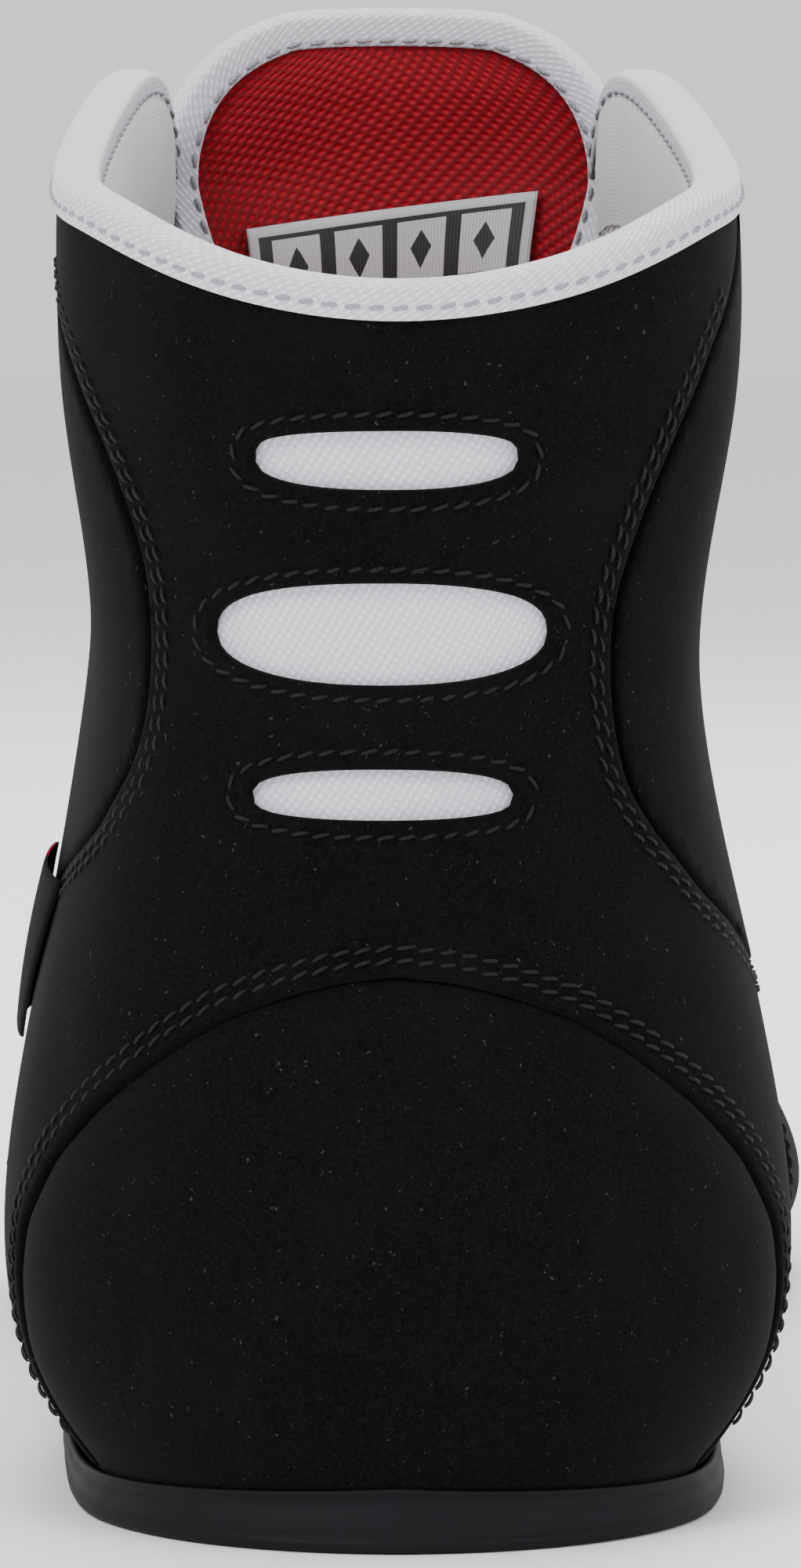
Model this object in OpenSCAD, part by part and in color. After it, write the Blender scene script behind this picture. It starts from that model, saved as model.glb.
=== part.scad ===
// Boxing boot for a left foot: mid-height suede upper on a thin rubber sole.
// X points to the medial (inner) side, Y to the toe, Z up; the sole stands on Z = 0.

/* [Boot] */
// Length from the back of the heel to the tip of the toe
boot_l = 283; // [260:1:300]
// Thickness of the suede panels
suede_t = 1.3; // [1:0.1:1.4]
// Thickness of the linings
lining_t = 0.8; // [0.6:0.1:0.9]

/* [Sole] */
// Thickness of the rubber under the foot
rubber_t = 2.6; // [2:0.1:2.8]
// Height of the rubber rim at the back of the heel
rim_h = 6.2; // [5:0.1:8]

/* [Collar and tongue] */
// Height of the collar at the back, under its tape
collar_back_z = 121.5; // [118:0.5:123]
// Visible width of the tape folded over the collar
tape_w = 2.8; // [3:0.1:5]
// Half width of the tongue at its top
tongue_half = 25; // [20:0.5:25]

/* [Lacing] */
// Pairs of eyelets
eyelet_pairs = 7; // [4:1:8]
// Diameter of the round lace
lace_d = 2.2; // [1.8:0.1:2.4]

/* [Hidden] */

// ---- The last: one smooth surface that every layer of the upper follows ----
// A rib runs up the boot from the sole edge (h = 0) to the collar, the throat or the centre line (h = 6).
// Ribs count from the back of the heel (0) to the tip of the toe (15), negative on the lateral side.
last_rib = 15;
top_row = 6;
open_rib = 10; // the throat ends here, and the two sides meet from here to the toe
feather_z = 4; // the sole edge of the upper
ankle_y = 42; // the widest place of the shaft, from the back of the heel

// Height along a rib, as a share of its top: a straight wall, and the arch of the forefoot
wall = [0, 0.09, 0.23, 0.42, 0.62, 0.82, 1];
arch = [0, 0.14, 0.34, 0.55, 0.76, 0.91, 1];
// Width of the arch between its top and its widest place, and how far it leans back
arch_x = [0, 1, 0.95, 0.78, 0.54, 0.28, 0];
arch_y = [0, 0, 0.08, 0.26, 0.5, 0.77, 1];

// Half width and back line of the shaft at each height
shaft_half = [[4, 30], [9, 34.4], [15, 37.6], [24, 39.2], [36, 38.8], [50, 36.8], [60, 35], [70, 32.2],
    [83, 30.6], [95, 31.3], [106, 33.1], [117, 34.8], [124, 35.1], [130, 34.5], [138, 32.8], [150, 30]];
shaft_back = [[4, 2.6], [10, 0.6], [22, 0], [35, 1], [50, 4], [65, 7.5], [82, 9.5], [95, 9], [110, 6.5],
    [124, 4.5]];
// How much fuller each side of the shaft is than that, at each height
lateral_full = [[4, 2], [9, 1.3], [28, 1.2], [43, 0.6], [55, 0], [67, -0.8], [79, -0.8], [92, -0.3],
    [104, -0.1], [113, 0.7], [124, 0.9], [135, 0.6]];
medial_full = [[4, 2.4], [9, 2.2], [28, 1.9], [45, 2.2], [55, 0.8], [64, -0.3], [79, -0.3], [90, 0.6],
    [102, 1.2], [113, 1.7], [124, 1.7], [135, 1]];
// Roundness of the back of the shaft: 2 is an ellipse
back_round = 2.15;

// Ribs 4 to 15: [y at the sole, half width, y at the top, x at the top, z at the top, share of wall]
front_ribs = [
    [75, 37.2, 81, 29.5, 145, 1],
    [103, 36.5, 92, 26.6, 139, 1],
    [129, 38.8, 101, 26, 118, 0.9],
    [149, 42.3, 116, 22.5, 96, 0.6],
    [165, 45.2, 137, 16.5, 78, 0.3],
    [178, 46.8, 156, 9.5, 67, 0.1],
    [192, 47.6, 170, 0, 62, 0],
    [215, 46.9, 204, 0, 50.5, 0],
    [240, 40.5, 231, 0, 43, 0],
    [262, 28.5, 251, 0, 37.5, 0],
    [276, 15, 264.5, 0, 32.5, 0],
    [283, 0, 272, 0, 28.5, 0]];

// Left and right differ: the lateral ball lies further back, and the toe leans to the medial side
lateral_share = [[0, 1], [60, 1], [105, 1.03], [150, 1.03], [180, 1.015], [215, 0.98], [283, 0.97]];
medial_share = [[0, 1], [60, 0.98], [105, 0.92], [150, 0.95], [185, 1], [215, 1.03], [283, 1.03]];
centre_x = [[0, -0.3], [120, -0.8], [180, 0], [215, 1.5], [250, 4.5], [283, 7]];
// The toe springs up from here
spring_y = 215;
toe_spring = 5;

function mix(a, b, k) = a + (b - a) * k;
function spring(y) = toe_spring * pow(max(0, y - spring_y) / (boot_l - spring_y), 2);
// Half of a flat oval of the given roundness, 0 to 1 over 0 to 90 degrees
function oval_sin(a) = pow(max(0, sin(a)), 2 / back_round);
function oval_cos(a) = pow(max(0, cos(a)), 2 / back_round);

// Point j of rib i, seen on the medial side of an even boot
function rear_point(i, j) =
    let (angle = 30 * i, top = mix(collar_back_z, 134, pow(sin(angle), 2)),
         z = mix(feather_z, top, wall[j]), back = lookup(z, shaft_back))
    [lookup(z, shaft_half) * oval_sin(angle), ankle_y - (ankle_y - back) * oval_cos(angle), z];

function front_point(i, j) =
    let (r = front_ribs[i - 4], tuck = j == 0 ? min(r[1], 4) : 0,
         up = mix(arch[j], wall[j], r[5]), toe = i == last_rib && j == 0 ? 2 : 0)
    [j == 0 ? r[1] - tuck : mix(r[3], r[1], arch_x[j]), mix(r[0], r[2], arch_y[j]) - toe,
     mix(feather_z, r[4], up) + spring(r[0])];

// The ankle draws in above the sole on the ribs in front of the shaft's widest place
function ankle_in(i, j) = i == 4 ? [0, 0, 0, 0.6, 2.6, 1.6, 0][j] : i == 5 ? [0, 0, 0.3, 2.2, 3.4, 1.8, 0][j]
    : i == 6 ? [0, 0, 0.3, 2.4, 2.6, 1, 0][j] : 0;

function side_point(side, i, j) =
    let (p = i < 4 ? rear_point(i, j) : front_point(i, j) - [ankle_in(i, j), 0, 0],
         share = lookup(p.y, side < 0 ? lateral_share : medial_share),
         full = lookup(p.z, side < 0 ? lateral_full : medial_full) * [0, 0.5, 0.87, 1, 0.5, 0][min(5, i)])
    [lookup(p.y, centre_x) + side * (share * p.x + full), p.y, p.z];

// The net goes on past its edges: over the centre line onto the other side, or straight on
function net_point(side, i, j) =
    i < 0 ? net_point(-side, -i, j)
    : i > last_rib ? net_point(-side, 2 * last_rib - i, j)
    : j < 0 ? 2 * side_point(side, i, 0) - side_point(side, i, -j)
    : j > top_row ? (i >= open_rib ? side_point(-side, i, 2 * top_row - j)
        : 2 * side_point(side, i, top_row) - side_point(side, i, 2 * top_row - j))
    : side_point(side, i, j);

// Control points of the cubic spline surface that passes through the net
function across(side, i, j) =
    (8 * net_point(side, i, j) - net_point(side, i, j - 1) - net_point(side, i, j + 1)) / 6;
function knots(side) = [for (i = [-2 : last_rib + 2]) [for (j = [-1 : top_row + 1]) across(side, i, j)]];
function smooth_ribs(k) =
    [for (i = [1 : last_rib + 3]) [for (j = [0 : top_row + 2])
        (8 * k[i][j] - k[i - 1][j] - k[i + 1][j]) / 6]];
lateral_net = smooth_ribs(knots(-1));
medial_net = smooth_ribs(knots(1));

function weights(f) = [pow(1 - f, 3), 3 * pow(f, 3) - 6 * f * f + 4, -3 * pow(f, 3) + 3 * f * f + 3 * f + 1,
    pow(f, 3)] / 6;
function last_point(t, h) =
    let (net = t < 0 ? lateral_net : medial_net, u = min(abs(t), last_rib - 1e-6),
         v = min(max(h, 0), top_row - 1e-6), i = floor(u), j = floor(v), a = weights(u - i),
         b = weights(v - j))
    a[0] * (b * [for (n = [0 : 3]) net[i][j + n]]) + a[1] * (b * [for (n = [0 : 3]) net[i + 1][j + n]])
    + a[2] * (b * [for (n = [0 : 3]) net[i + 2][j + n]]) + a[3] * (b * [for (n = [0 : 3]) net[i + 3][j + n]]);

// Outward normal, and a point of a layer that lies some distance outside the last
step = 0.02;
function unit(v) = v / norm(v);
function normal(t, h) =
    let (dt = last_point(t + step, h) - last_point(t - step, h),
         dh = last_point(t, min(top_row, h + step)) - last_point(t, max(0, h - step)))
    unit(cross(dt, dh));
function layer(t, h, out) = last_point(t, h) + out * normal(t, h) - [0, boot_l / 2, 0];

// ---- Shells: a closed solid between an outer and an inner grid of points ----
// live(r, c) says which cells exist. Where the grid closes on itself, zip(r, c) marks the vertices of the
// closing line, and twin(r, c) names the column whose vertex each one shares.
module shell(outer, inner, live = function(r, c) true, zip = function(r, c) false, twin = function(r, c) c) {
    rows = len(outer);
    cols = len(outer[0]);
    n = rows * cols;
    at = function(r, c) r * cols + (zip(r, c) ? twin(r, c) : c);
    on = function(r, c) r >= 0 && c >= 0 && r < rows - 1 && c < cols - 1 && live(r, c);
    wall_of = function(a, b) [[a, b, b + n], [a, b + n, a + n]];
    free = function(r, c, q, d) !(zip(r, c) && zip(q, d));
    faces = [for (r = [0 : rows - 2]) for (c = [0 : cols - 2]) if (on(r, c))
        let (a = at(r, c), b = at(r, c + 1), d = at(r + 1, c + 1), e = at(r + 1, c))
        each concat(
            [[a, e, d], [a, d, b]], [[a + n, d + n, e + n], [a + n, b + n, d + n]],
            !on(r - 1, c) && free(r, c, r, c + 1) ? wall_of(a, b) : [],
            !on(r, c + 1) && free(r, c + 1, r + 1, c + 1) ? wall_of(b, d) : [],
            !on(r + 1, c) && free(r + 1, c, r + 1, c + 1) ? wall_of(d, e) : [],
            !on(r, c - 1) && free(r, c, r + 1, c) ? wall_of(e, a) : [])];
    sound = [for (f = faces) if (f[0] != f[1] && f[1] != f[2] && f[2] != f[0]) f];
    polyhedron(points = concat([for (row = outer) each row], [for (row = inner) each row]), faces = sound);
}

function spread(a, b, n) = [for (k = [0 : n]) mix(a, b, k / n)];

// Row that lies some distance below the top edge, and points beyond that edge
function below(t, d) = top_row - d * 0.4 / norm(last_point(t, top_row) - last_point(t, top_row - 0.4));
function edge_point(t, d, out) = layer(t, below(t, max(d, 0)), out)
    + max(0, -d) * unit(last_point(t, top_row) - last_point(t, top_row - 0.2));

// A layer patch: near(h) and far(h) give the two ribs that it lies between on each row, left to right
module patch(rows, cols, near, far, out, thick) {
    grid = function(o) [for (h = rows) [for (k = [0 : cols]) layer(mix(near(h), far(h), k / cols), h, o)]];
    shell(grid(out), grid(out - thick));
}
// A piece of the forefoot that goes over the top from one side to the other, between two lines of ribs
module saddle(stations, rows, back, front, out, thick) {
    n = len(rows) - 1;
    loop = concat([for (k = [0 : n]) [-1, rows[k]]], [for (k = [n - 1 : -1 : 0]) [1, rows[k]]]);
    closes = front(0) >= last_rib;
    grid = function(o) [for (s = spread(0, 1, stations)) [for (q = loop)
        layer(q[0] * mix(back(q[1]), front(q[1]), s), q[1], o)]];
    shell(grid(out), grid(out - thick), function(r, c) true,
        function(r, c) closes && r == stations, function(r, c) min(c, 2 * n - c));
}

// ---- Lines on the upper, each as a rib against a row ----
// The seams from the collar down the back panel, and on along the lower side
lateral_seam = [[0, 9.25], [2.09, 9.25], [2.1, 8], [2.35, 6], [2.6, 4.6], [2.9, 3.6], [3.22, 2.78],
    [3.45, 2.2], [3.7, 1.87], [3.9, 1.76], [4.2, 1.7], [4.5, 1.7], [4.7, 1.8], [4.95, 2], [5.25, 2.35],
    [5.6, 3], [6, 3.7]];
medial_seam = [[0, 9.25], [2.09, 9.25], [2.1, 7.4], [2.3, 5.5], [2.5, 4.2], [2.79, 3], [3.22, 2.05],
    [3.53, 1.64], [3.73, 1.46], [4.1, 1.38], [4.35, 1.37], [4.5, 1.4], [4.8, 1.57], [5, 1.72], [5.35, 2.05],
    [5.6, 2.4], [6, 3]];
function seam(side, h) = lookup(h, side < 0 ? lateral_seam : medial_seam);
// The edge of the opening in the back panel over the heel cap
dome = [[0, 2.3], [0.5, 2.4], [1, 2.48], [1.5, 2.42], [1.8, 2.32], [2.15, 2], [2.42, 1.64], [2.7, 1.2],
    [2.88, 0.88], [3, 0.55], [3.07, 0.28], [3.1, 0]];
dome_top = 3.1;
seam_gap = 0.08; // in ribs, between panels that meet at a seam
split_gap = 0.06; // in ribs, between pieces that meet at the flex zone
crease_back = function(h) mix(9.3, 10, h / top_row);
crease_front = function(h) mix(10.2, 11.1, h / top_row);
collar_rib = 5.1; // the front corner of the collar
tape_row = 5.93; // panels end under the tape here

// Layers, measured outwards from the last
layer_gap = 0.3;
under_suede = -suede_t - layer_gap;
foam_t = 2.2;
lining_out = under_suede - foam_t - layer_gap;
inner_face = lining_out - lining_t;

// Windows in the back panel: [height, half width, half height, shift to the lateral side]
windows = [[105.1, 12.9, 2.8, 1.1], [88.3, 16.2, 4.6, 1.6], [72.8, 12.9, 2.3, 1.6]];

function full(c) = sign(c) * pow(abs(c), 0.85); // fuller than an ellipse

module window_cutters() {
    for (w = windows)
        translate([centre_x[0][1] - w[3], -boot_l / 2, w[0]])
            rotate([90, 0, 0])
                linear_extrude(height = 60, center = true)
                    polygon([for (a = [0 : 12 : 348]) [w[1] * full(cos(a)), w[2] * full(sin(a))]]);
}

// Rows that the back panel and the quarters share along their seams
seam_rows = [2.1, 2.25, 2.45, 2.7, 2.85, 3.02];
high_rows = [dome_top, 3.3, 3.6, 3.9, 4.3, 4.7, 5.2, 5.4, 5.6, 5.75, tape_row];

module back_panel() {
    low_rows = concat([0, 0.7, 1.4, 1.8, 2.09], seam_rows);
    rows = concat(low_rows, high_rows);
    half = 15;
    edge = function(side, h, k)
        side * mix(h < dome_top ? lookup(h, dome) : 0, seam(side, h), pow(k / half, 1.25));
    grid = function(o) [for (h = rows) concat([for (k = [half : -1 : 0]) layer(edge(-1, h, k), h, o)],
        [for (k = [0 : half]) layer(edge(1, h, k), h, o)])];
    color([0.1, 0.1, 0.11])
        difference() {
            shell(grid(0), grid(-suede_t), function(r, c) c != half,
                function(r, c) r >= len(low_rows) && (c == half || c == half + 1), function(r, c) half);
            window_cutters();
        }
}

// The heel cap is a padded piece that swells out of the opening in the back panel
cap_swell = 1.5;
module heel_cap() {
    rows = [0.1, 0.8, 1.5, 2, 2.35, 2.6, 2.85, 3];
    cols = 12;
    half = function(h) lookup(h, dome) - 0.1;
    bulge = function(h, k) cap_swell * pow(sin(180 * k / cols) * sin(mix(4, 165, h / dome_top)), 0.6);
    grid = function(o, swell) [for (h = rows) [for (k = [0 : cols])
        layer(mix(-half(h), half(h), k / cols), h, o + swell * bulge(h, k))]];
    color([0.08, 0.08, 0.09]) shell(grid(-0.5, 1), grid(-suede_t, 0));
}

module heel_counter() {
    color([0.8, 0.76, 0.66])
        patch([0.4, 1.1, 1.7, 2.3, 2.8], 18, function(h) -3.2, function(h) 3.2, under_suede - 0.4, 1.4);
}

module window_mesh() {
    color([0.93, 0.94, 0.93])
        patch(spread(3.3, 5.4, 8), 10, function(h) -1.3, function(h) 1.3, under_suede + 0.1, 0.5);
}

// ---- Eyelets: places on the throat, shared by everything that they go through ----
eyelet_barrel = 2.5;
eyelet_bore = 2;
eyelet_flange = 3.7;
flange_t = 0.4;
eyelet_inset = 5.5; // from the edge of the throat
first_eyelet = 9.3;
last_eyelet = 6;
function eyelet_rib(k) = mix(first_eyelet, last_eyelet, k / (eyelet_pairs - 1));

// A walk over the last, square to the edge of the throat, gives the rib and row at some distance from it
stride = 3;
function walk(t, h, edge, d) = d <= 0 ? [t, h]
    : let (pace = min(d, stride), a = (last_point(t + step, h) - last_point(t - step, h)) / (2 * step),
           b = (last_point(t, h) - last_point(t, h - step)) / step,
           w = pace * unit(cross(edge, normal(t, h))),
           det = (a * a) * (b * b) - pow(a * b, 2))
    walk(t + ((a * w) * (b * b) - (b * w) * (a * b)) / det, h + ((b * w) * (a * a) - (a * w) * (a * b)) / det,
        edge, d - pace);
function throat_place(t, d) =
    walk(t, top_row - step, last_point(t + step, top_row) - last_point(t - step, top_row), d);
function throat_point(t, d, out) = let (q = throat_place(t, d)) layer(q[0], q[1], out);

module eyelet_place(side, k) {
    place = throat_place(side * eyelet_rib(k), eyelet_inset);
    t = place[0];
    h = place[1];
    z = normal(t, h);
    x = unit(cross([0, 1, 0], z));
    y = cross(z, x);
    p = layer(t, h, 0);
    multmatrix([[x[0], y[0], z[0], p[0]], [x[1], y[1], z[1], p[1]], [x[2], y[2], z[2], p[2]], [0, 0, 0, 1]])
        children();
}
module eyelet_holes(side) {
    for (k = [0 : eyelet_pairs - 1])
        eyelet_place(side, k) cylinder(r = eyelet_barrel + 0.15, h = 9, center = true, $fn = 24);
}
module eyelets(side) {
    back = -suede_t - 0.05;
    face = suede_t + 0.2;
    color([0.16, 0.16, 0.17])
        for (k = [0 : eyelet_pairs - 1])
            eyelet_place(side, k)
                rotate_extrude($fn = 32)
                    polygon([[eyelet_bore, back - flange_t], [eyelet_flange - 0.5, back - flange_t],
                        [eyelet_flange - 0.5, back], [eyelet_barrel, back], [eyelet_barrel, face],
                        [eyelet_flange, face], [eyelet_flange - 0.2, face + flange_t],
                        [eyelet_bore, face + flange_t]]);
}

// Sides: -1 is lateral, 1 is medial
module quarter(side) {
    rows = concat(seam_rows, high_rows);
    near = function(h) side * (seam(side, h) + seam_gap);
    far = function(h) side * (crease_back(h) - split_gap);
    color([0.11, 0.11, 0.12])
        difference() {
            patch(rows, 22, side < 0 ? far : near, side < 0 ? near : far, 0, suede_t);
            eyelet_holes(side);
        }
}

// The eyestay is a second layer along the throat
stay_ribs = [5.25, 9.75];
stay_w = 12;
module eyestay(side) {
    ribs = spread(side * stay_ribs[side < 0 ? 1 : 0], side * stay_ribs[side < 0 ? 0 : 1], 18);
    grid = function(o) [for (d = [stay_w, stay_w / 2, 0.3]) [for (t = ribs) throat_point(t, d, o)]];
    color([0.13, 0.13, 0.14])
        difference() {
            shell(grid(suede_t + 0.1), grid(0.1));
            eyelet_holes(side);
        }
}

// ---- Collar ----
module collar_tape() {
    ribs = spread(-collar_rib, collar_rib, 30);
    outside = [[tape_w, 0.8], [0.8, 0.85], [-0.5, 0.5], [-1, -0.8], [-1, inner_face + 0.8],
        [-0.5, inner_face - 0.5], [0.8, inner_face - 0.85], [tape_w, inner_face - 0.8]];
    inside = [[tape_w, 0.15], [0.8, 0.15], [0.1, 0.1], [-0.5, -0.9], [-0.5, inner_face + 0.9],
        [0.1, inner_face - 0.1], [0.8, inner_face - 0.15], [tape_w, inner_face - 0.15]];
    grid = function(line) [for (q = line) [for (t = ribs) edge_point(t, q[0], q[1])]];
    color([0.93, 0.93, 0.9]) shell(grid(outside), grid(inside));
}
collar_w = 18; // height of the padded band
collar_end = 4.6; // the rib where the padding stops
module collar_band(depths, out, thick) {
    grid = function(o) [for (d = depths) [for (t = spread(-collar_end, collar_end, 30))
        layer(t, below(t, d), o)]];
    shell(grid(out), grid(out - thick));
}
module collar_foam() {
    color([0.9, 0.88, 0.6]) collar_band([collar_w, 13, 9, 5, 1], under_suede - 0.6, foam_t - 0.6);
}
module collar_lining() {
    color([0.92, 0.93, 0.92]) collar_band([collar_w - 4, collar_w / 2 - 2, 1], lining_out, lining_t);
}
module lining_rear() {
    top = function(t) abs(t) < 5 ? below(t, collar_w - 3.4) : min(4.5, below(t, collar_w));
    grid = function(o) [for (d = spread(0, 1, 7)) [for (k = spread(-1, 1, 32))
        let (h = mix(0.5, 5, d), t = k * (crease_back(h) - split_gap)) layer(t, mix(0.5, top(t), d), o)]];
    color([0.75, 0.08, 0.12]) shell(grid(lining_out), grid(inner_face));
}
tag_rows = [2.5, 3.1];
module side_tag() {
    low = function(h) (h - tag_rows[0]) / (tag_rows[1] - tag_rows[0]);
    color([0.12, 0.1, 0.1])
        patch(spread(tag_rows[0], tag_rows[1], 2), 3, function(h) mix(-3.9, -3.4, low(h)),
            function(h) mix(-3.3, -2.8, low(h)), 1.5, 1.3);
}

// ---- Forefoot ----
rows_over = [0, 0.8, 1.8, 2.8, 3.8, 4.8, top_row];
lining_rows = [0.5, 1.8, 2.8, 3.8, 4.8, top_row];
after_crease = function(h) crease_front(h) + split_gap;
toe_end = function(h) last_rib;
module vamp_crease() {
    color([0.11, 0.11, 0.12]) saddle(3, rows_over, crease_back, crease_front, 0, suede_t);
}
module lining_crease() {
    color([0.75, 0.08, 0.12]) saddle(3, lining_rows, crease_back, crease_front, lining_out, lining_t);
}
module vamp() {
    color([0.11, 0.11, 0.12]) saddle(9, rows_over, after_crease, toe_end, 0, suede_t);
}
module toe_cap() {
    color([0.13, 0.13, 0.14])
        saddle(9, [0.05, 0.4, 0.8, 1.4, 2, 2.8, 3.6, 4.4, 5.2, top_row],
            function(h) mix(11.6, 13, h / top_row), toe_end, suede_t + 0.3, suede_t);
}
module toe_puff() {
    color([0.8, 0.76, 0.66])
        saddle(6, [0.4, 1, 1.8, 2.8, 3.8, 4.8, top_row], function(h) mix(12.6, 13.3, h / top_row), toe_end,
            under_suede - 0.15, 1);
}
module lining_toe() {
    color([0.75, 0.08, 0.12]) saddle(6, lining_rows, after_crease, toe_end, lining_out, lining_t);
}

// ---- Sole: plates between the two sides of the sole edge, some distance inside it ----
sole_split = 9.7; // rib of the flex line under the ball
half_split = 0.03;
rear_stations = [0, 0.4, 0.8, 1.3, 2, 3, 4, 5, 6, 7, 8, 9, sole_split - half_split];
front_stations = [sole_split + half_split, 10.5, 11.2, 11.8, 12.3, 12.8, 13.2, 13.6, 14, 14.3, 14.6, 14.85,
    last_rib];
// Row at which the last reaches a height
function row_at(t, z, low = 0, high = 3) =
    high - low < 0.01 ? low
    : let (mid = (low + high) / 2)
        last_point(t, mid).z < z ? row_at(t, z, mid, high) : row_at(t, z, low, mid);
function sole_point(side, t, q) =
    let (lift = spring(last_point(side * t, 0).y), h = q[0] < 0 ? 0 : row_at(side * t, q[1] + lift),
         n = normal(side * t, h),
         r = last_point(side * t, h) + q[0] * unit([n.x, n.y, 0]))
    [r.x, r.y - boot_l / 2, q[1] + lift];
// Each chain runs from the medial edge inwards: [distance outside the sole edge, height] on each rib
module sole_piece(stations, chain, inner) {
    n = len(chain);
    last = len(stations) - 1;
    row = function(t, line) concat([for (k = [0 : n - 1]) sole_point(1, t, line[k](t))],
        [for (k = [n - 1 : -1 : 0]) sole_point(-1, t, line[k](t))]);
    shell([for (t = stations) row(t, chain)], [for (t = stations) row(t, inner)], function(r, c) true,
        function(r, c) (r == 0 && stations[0] == 0) || (r == last && stations[last] == last_rib),
        function(r, c) min(c, 2 * n - 1 - c));
}
module plate(stations, inset, levels) {
    sole_piece(stations, [function(t) [-inset, levels[0]]], [function(t) [-inset, levels[1]]]);
}
toe_rim_h = 9;
function rim(t) = t < 3 ? mix(rim_h, rubber_t + 1, t / 3)
    : t > 12 ? mix(rubber_t + 1, toe_rim_h, (t - 12) / 3) : rubber_t + 1;
// Gap between the upper and the inside of the rim, wider where the rim takes in the toe cap
function rim_gap(t) = lookup(t, [[10.8, 0.35], [11.5, 2.1]]);
rim_t = 0.75;
// How far the wall flares towards the tread round the heel
function flare(t) = lookup(t, [[0, 1.8], [2, 1.3], [3.5, 0]]);
module outsole(stations) {
    mid = function(t) (rim(t) + rubber_t) / 2;
    color([0.2, 0.22, 0.25])
        sole_piece(stations,
            [function(t) [rim_gap(t) + rim_t, rim(t)],
                function(t) [rim_gap(t) + rim_t + flare(t) / 2, mid(t)],
                function(t) [rim_gap(t) + 0.55 + flare(t), 1.6], function(t) [flare(t) - 2.2, 0]],
            [function(t) [rim_gap(t), rim(t)], function(t) [rim_gap(t), mid(t)],
                function(t) [rim_gap(t), rubber_t], function(t) [-2.2, rubber_t]]);
}
midsole_z = [2.9, 5.3];
board_z = [5.6, 6.6];
insole_z = [6.9, 10.4];
shank_size = [18, 90, 1.2];
shank_y = 85; // its middle, from the back of the heel
module shank_place(extra) {
    translate([centre_x[1][1], shank_y - boot_l / 2, midsole_z[1] - shank_size.z - extra])
        translate([-shank_size.x / 2 - extra, -shank_size.y / 2 - extra, 0])
            cube(shank_size + [2 * extra, 2 * extra, 2 * extra]);
}
module shank() { color([0.6, 0.62, 0.65]) shank_place(0); }
module midsole(stations) {
    color([0.85, 0.85, 0.83])
        difference() {
            plate(stations, 2.2, midsole_z);
            if (stations[0] == 0) shank_place(layer_gap);
        }
}
module strobel_board(stations) { color([0.88, 0.84, 0.74]) plate(stations, 4, board_z); }
module insole(stations) { color([0.7, 0.08, 0.12]) plate(stations, 4, insole_z); }

// ---- Tongue: a bowed surface that leans forward out of the throat ----
// Its middle line, as [height, y], its half width and its bow at each height
tongue_line = [[54.5, 168], [65, 151], [79, 133], [97, 115], [116, 105.5], [126, 103.5], [134, 103.2],
    [153, 101]];
tongue_halves = [[54, 10], [65, 13.5], [80, 19.5], [98, 22], [118, 22], [128, 21.3], [131, 22], [137, 25]];
tongue_bows = [[54, 12], [98, 12], [110, 12], [128, 5.5], [134, 2.5], [152, 2.5]];
tongue_low = 56.5;
tongue_split = 128;
tongue_top = 152;
corner_z = 132; // the rounded top starts here
function even(tab, v, d) = (lookup(v - d, tab) + 2 * lookup(v, tab) + lookup(v + d, tab)) / 4;
function tongue_edge(z) = lookup(z, tongue_halves) * (tongue_half / 25)
    * (z <= corner_z ? 1 : pow(1 - pow((z - corner_z) / (tongue_top + 0.6 - corner_z), 2.6), 1 / 2.6));
function tongue_point(z, x, out) =
    let (y = even(tongue_line, z, 4), slope = (even(tongue_line, z + 1, 4) - even(tongue_line, z - 1, 4)) / 2,
         up = unit([0, 1, -slope]), bow = lookup(z, tongue_bows) * pow(x / 25, 2),
         n = unit(up + [2 * lookup(z, tongue_bows) * x / 625, 0, 0]))
    [x + centre_x[1][1], y - boot_l / 2, z] - bow * up + out * n;
tongue_cloth = 0.8;
tongue_foam = 3;
module tongue_piece(levels, trim, out, thick) {
    grid = function(o) [for (z = levels) [for (k = spread(1, -1, 8))
        tongue_point(z, k * (tongue_edge(z) - trim), o)]];
    shell(grid(out), grid(out - thick));
}
low_levels = concat(spread(tongue_low, 120, 8), [tongue_split - 0.5]);
high_levels = [tongue_split + 0.5, 136, 142, 146, 149, 151];
foam_out = -tongue_cloth - layer_gap;
back_out = foam_out - tongue_foam - layer_gap;
module tongue_outer(levels) { color([0.12, 0.12, 0.13]) tongue_piece(levels, 0.4, 0, tongue_cloth); }
module tongue_padding(levels) { color([0.9, 0.88, 0.6]) tongue_piece(levels, 2, foam_out, tongue_foam); }
module tongue_lining(levels) { color([0.9, 0.1, 0.25]) tongue_piece(levels, 0.4, back_out, tongue_cloth); }

tongue_tape_w = 4;
module tongue_tape() {
    back = back_out - tongue_cloth;
    rise = spread(tongue_split + 0.5, 146, 5);
    levels = concat(rise, [149, 151]);
    // [height, share of the half width] round the edge of the tongue, from the medial side
    path = concat([for (z = levels) [z, 1]], [[tongue_top - 0.2, 0.6], [tongue_top, 0]],
        [[tongue_top - 0.2, -0.6]], [for (k = [len(levels) - 1 : -1 : 0]) [levels[k], -1]]);
    centre = 128;
    at = function(q, grow, out)
        let (x = q[1] * tongue_edge(q[0]), d = unit([x, 1.3 * (q[0] - centre)]) * grow)
        tongue_point(max(tongue_split + 0.5, q[0] + d[1]), x + d[0], out);
    outside = [[-tongue_tape_w, 0.8], [0, 0.8], [1, 0], [1, back], [0, back - 0.8],
        [-tongue_tape_w, back - 0.8]];
    inside = [[-tongue_tape_w, 0.15], [-0.2, 0.15], [0.3, -0.2], [0.3, back + 0.2], [-0.2, back - 0.35],
        [-tongue_tape_w, back - 0.4]];
    grid = function(line) [for (q = line) [for (p = path) at(p, q[0], q[1])]];
    color([0.93, 0.93, 0.9]) shell(grid(outside), grid(inside));
}
label_half = 16;
label_levels = [128.8, 132.6];
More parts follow.
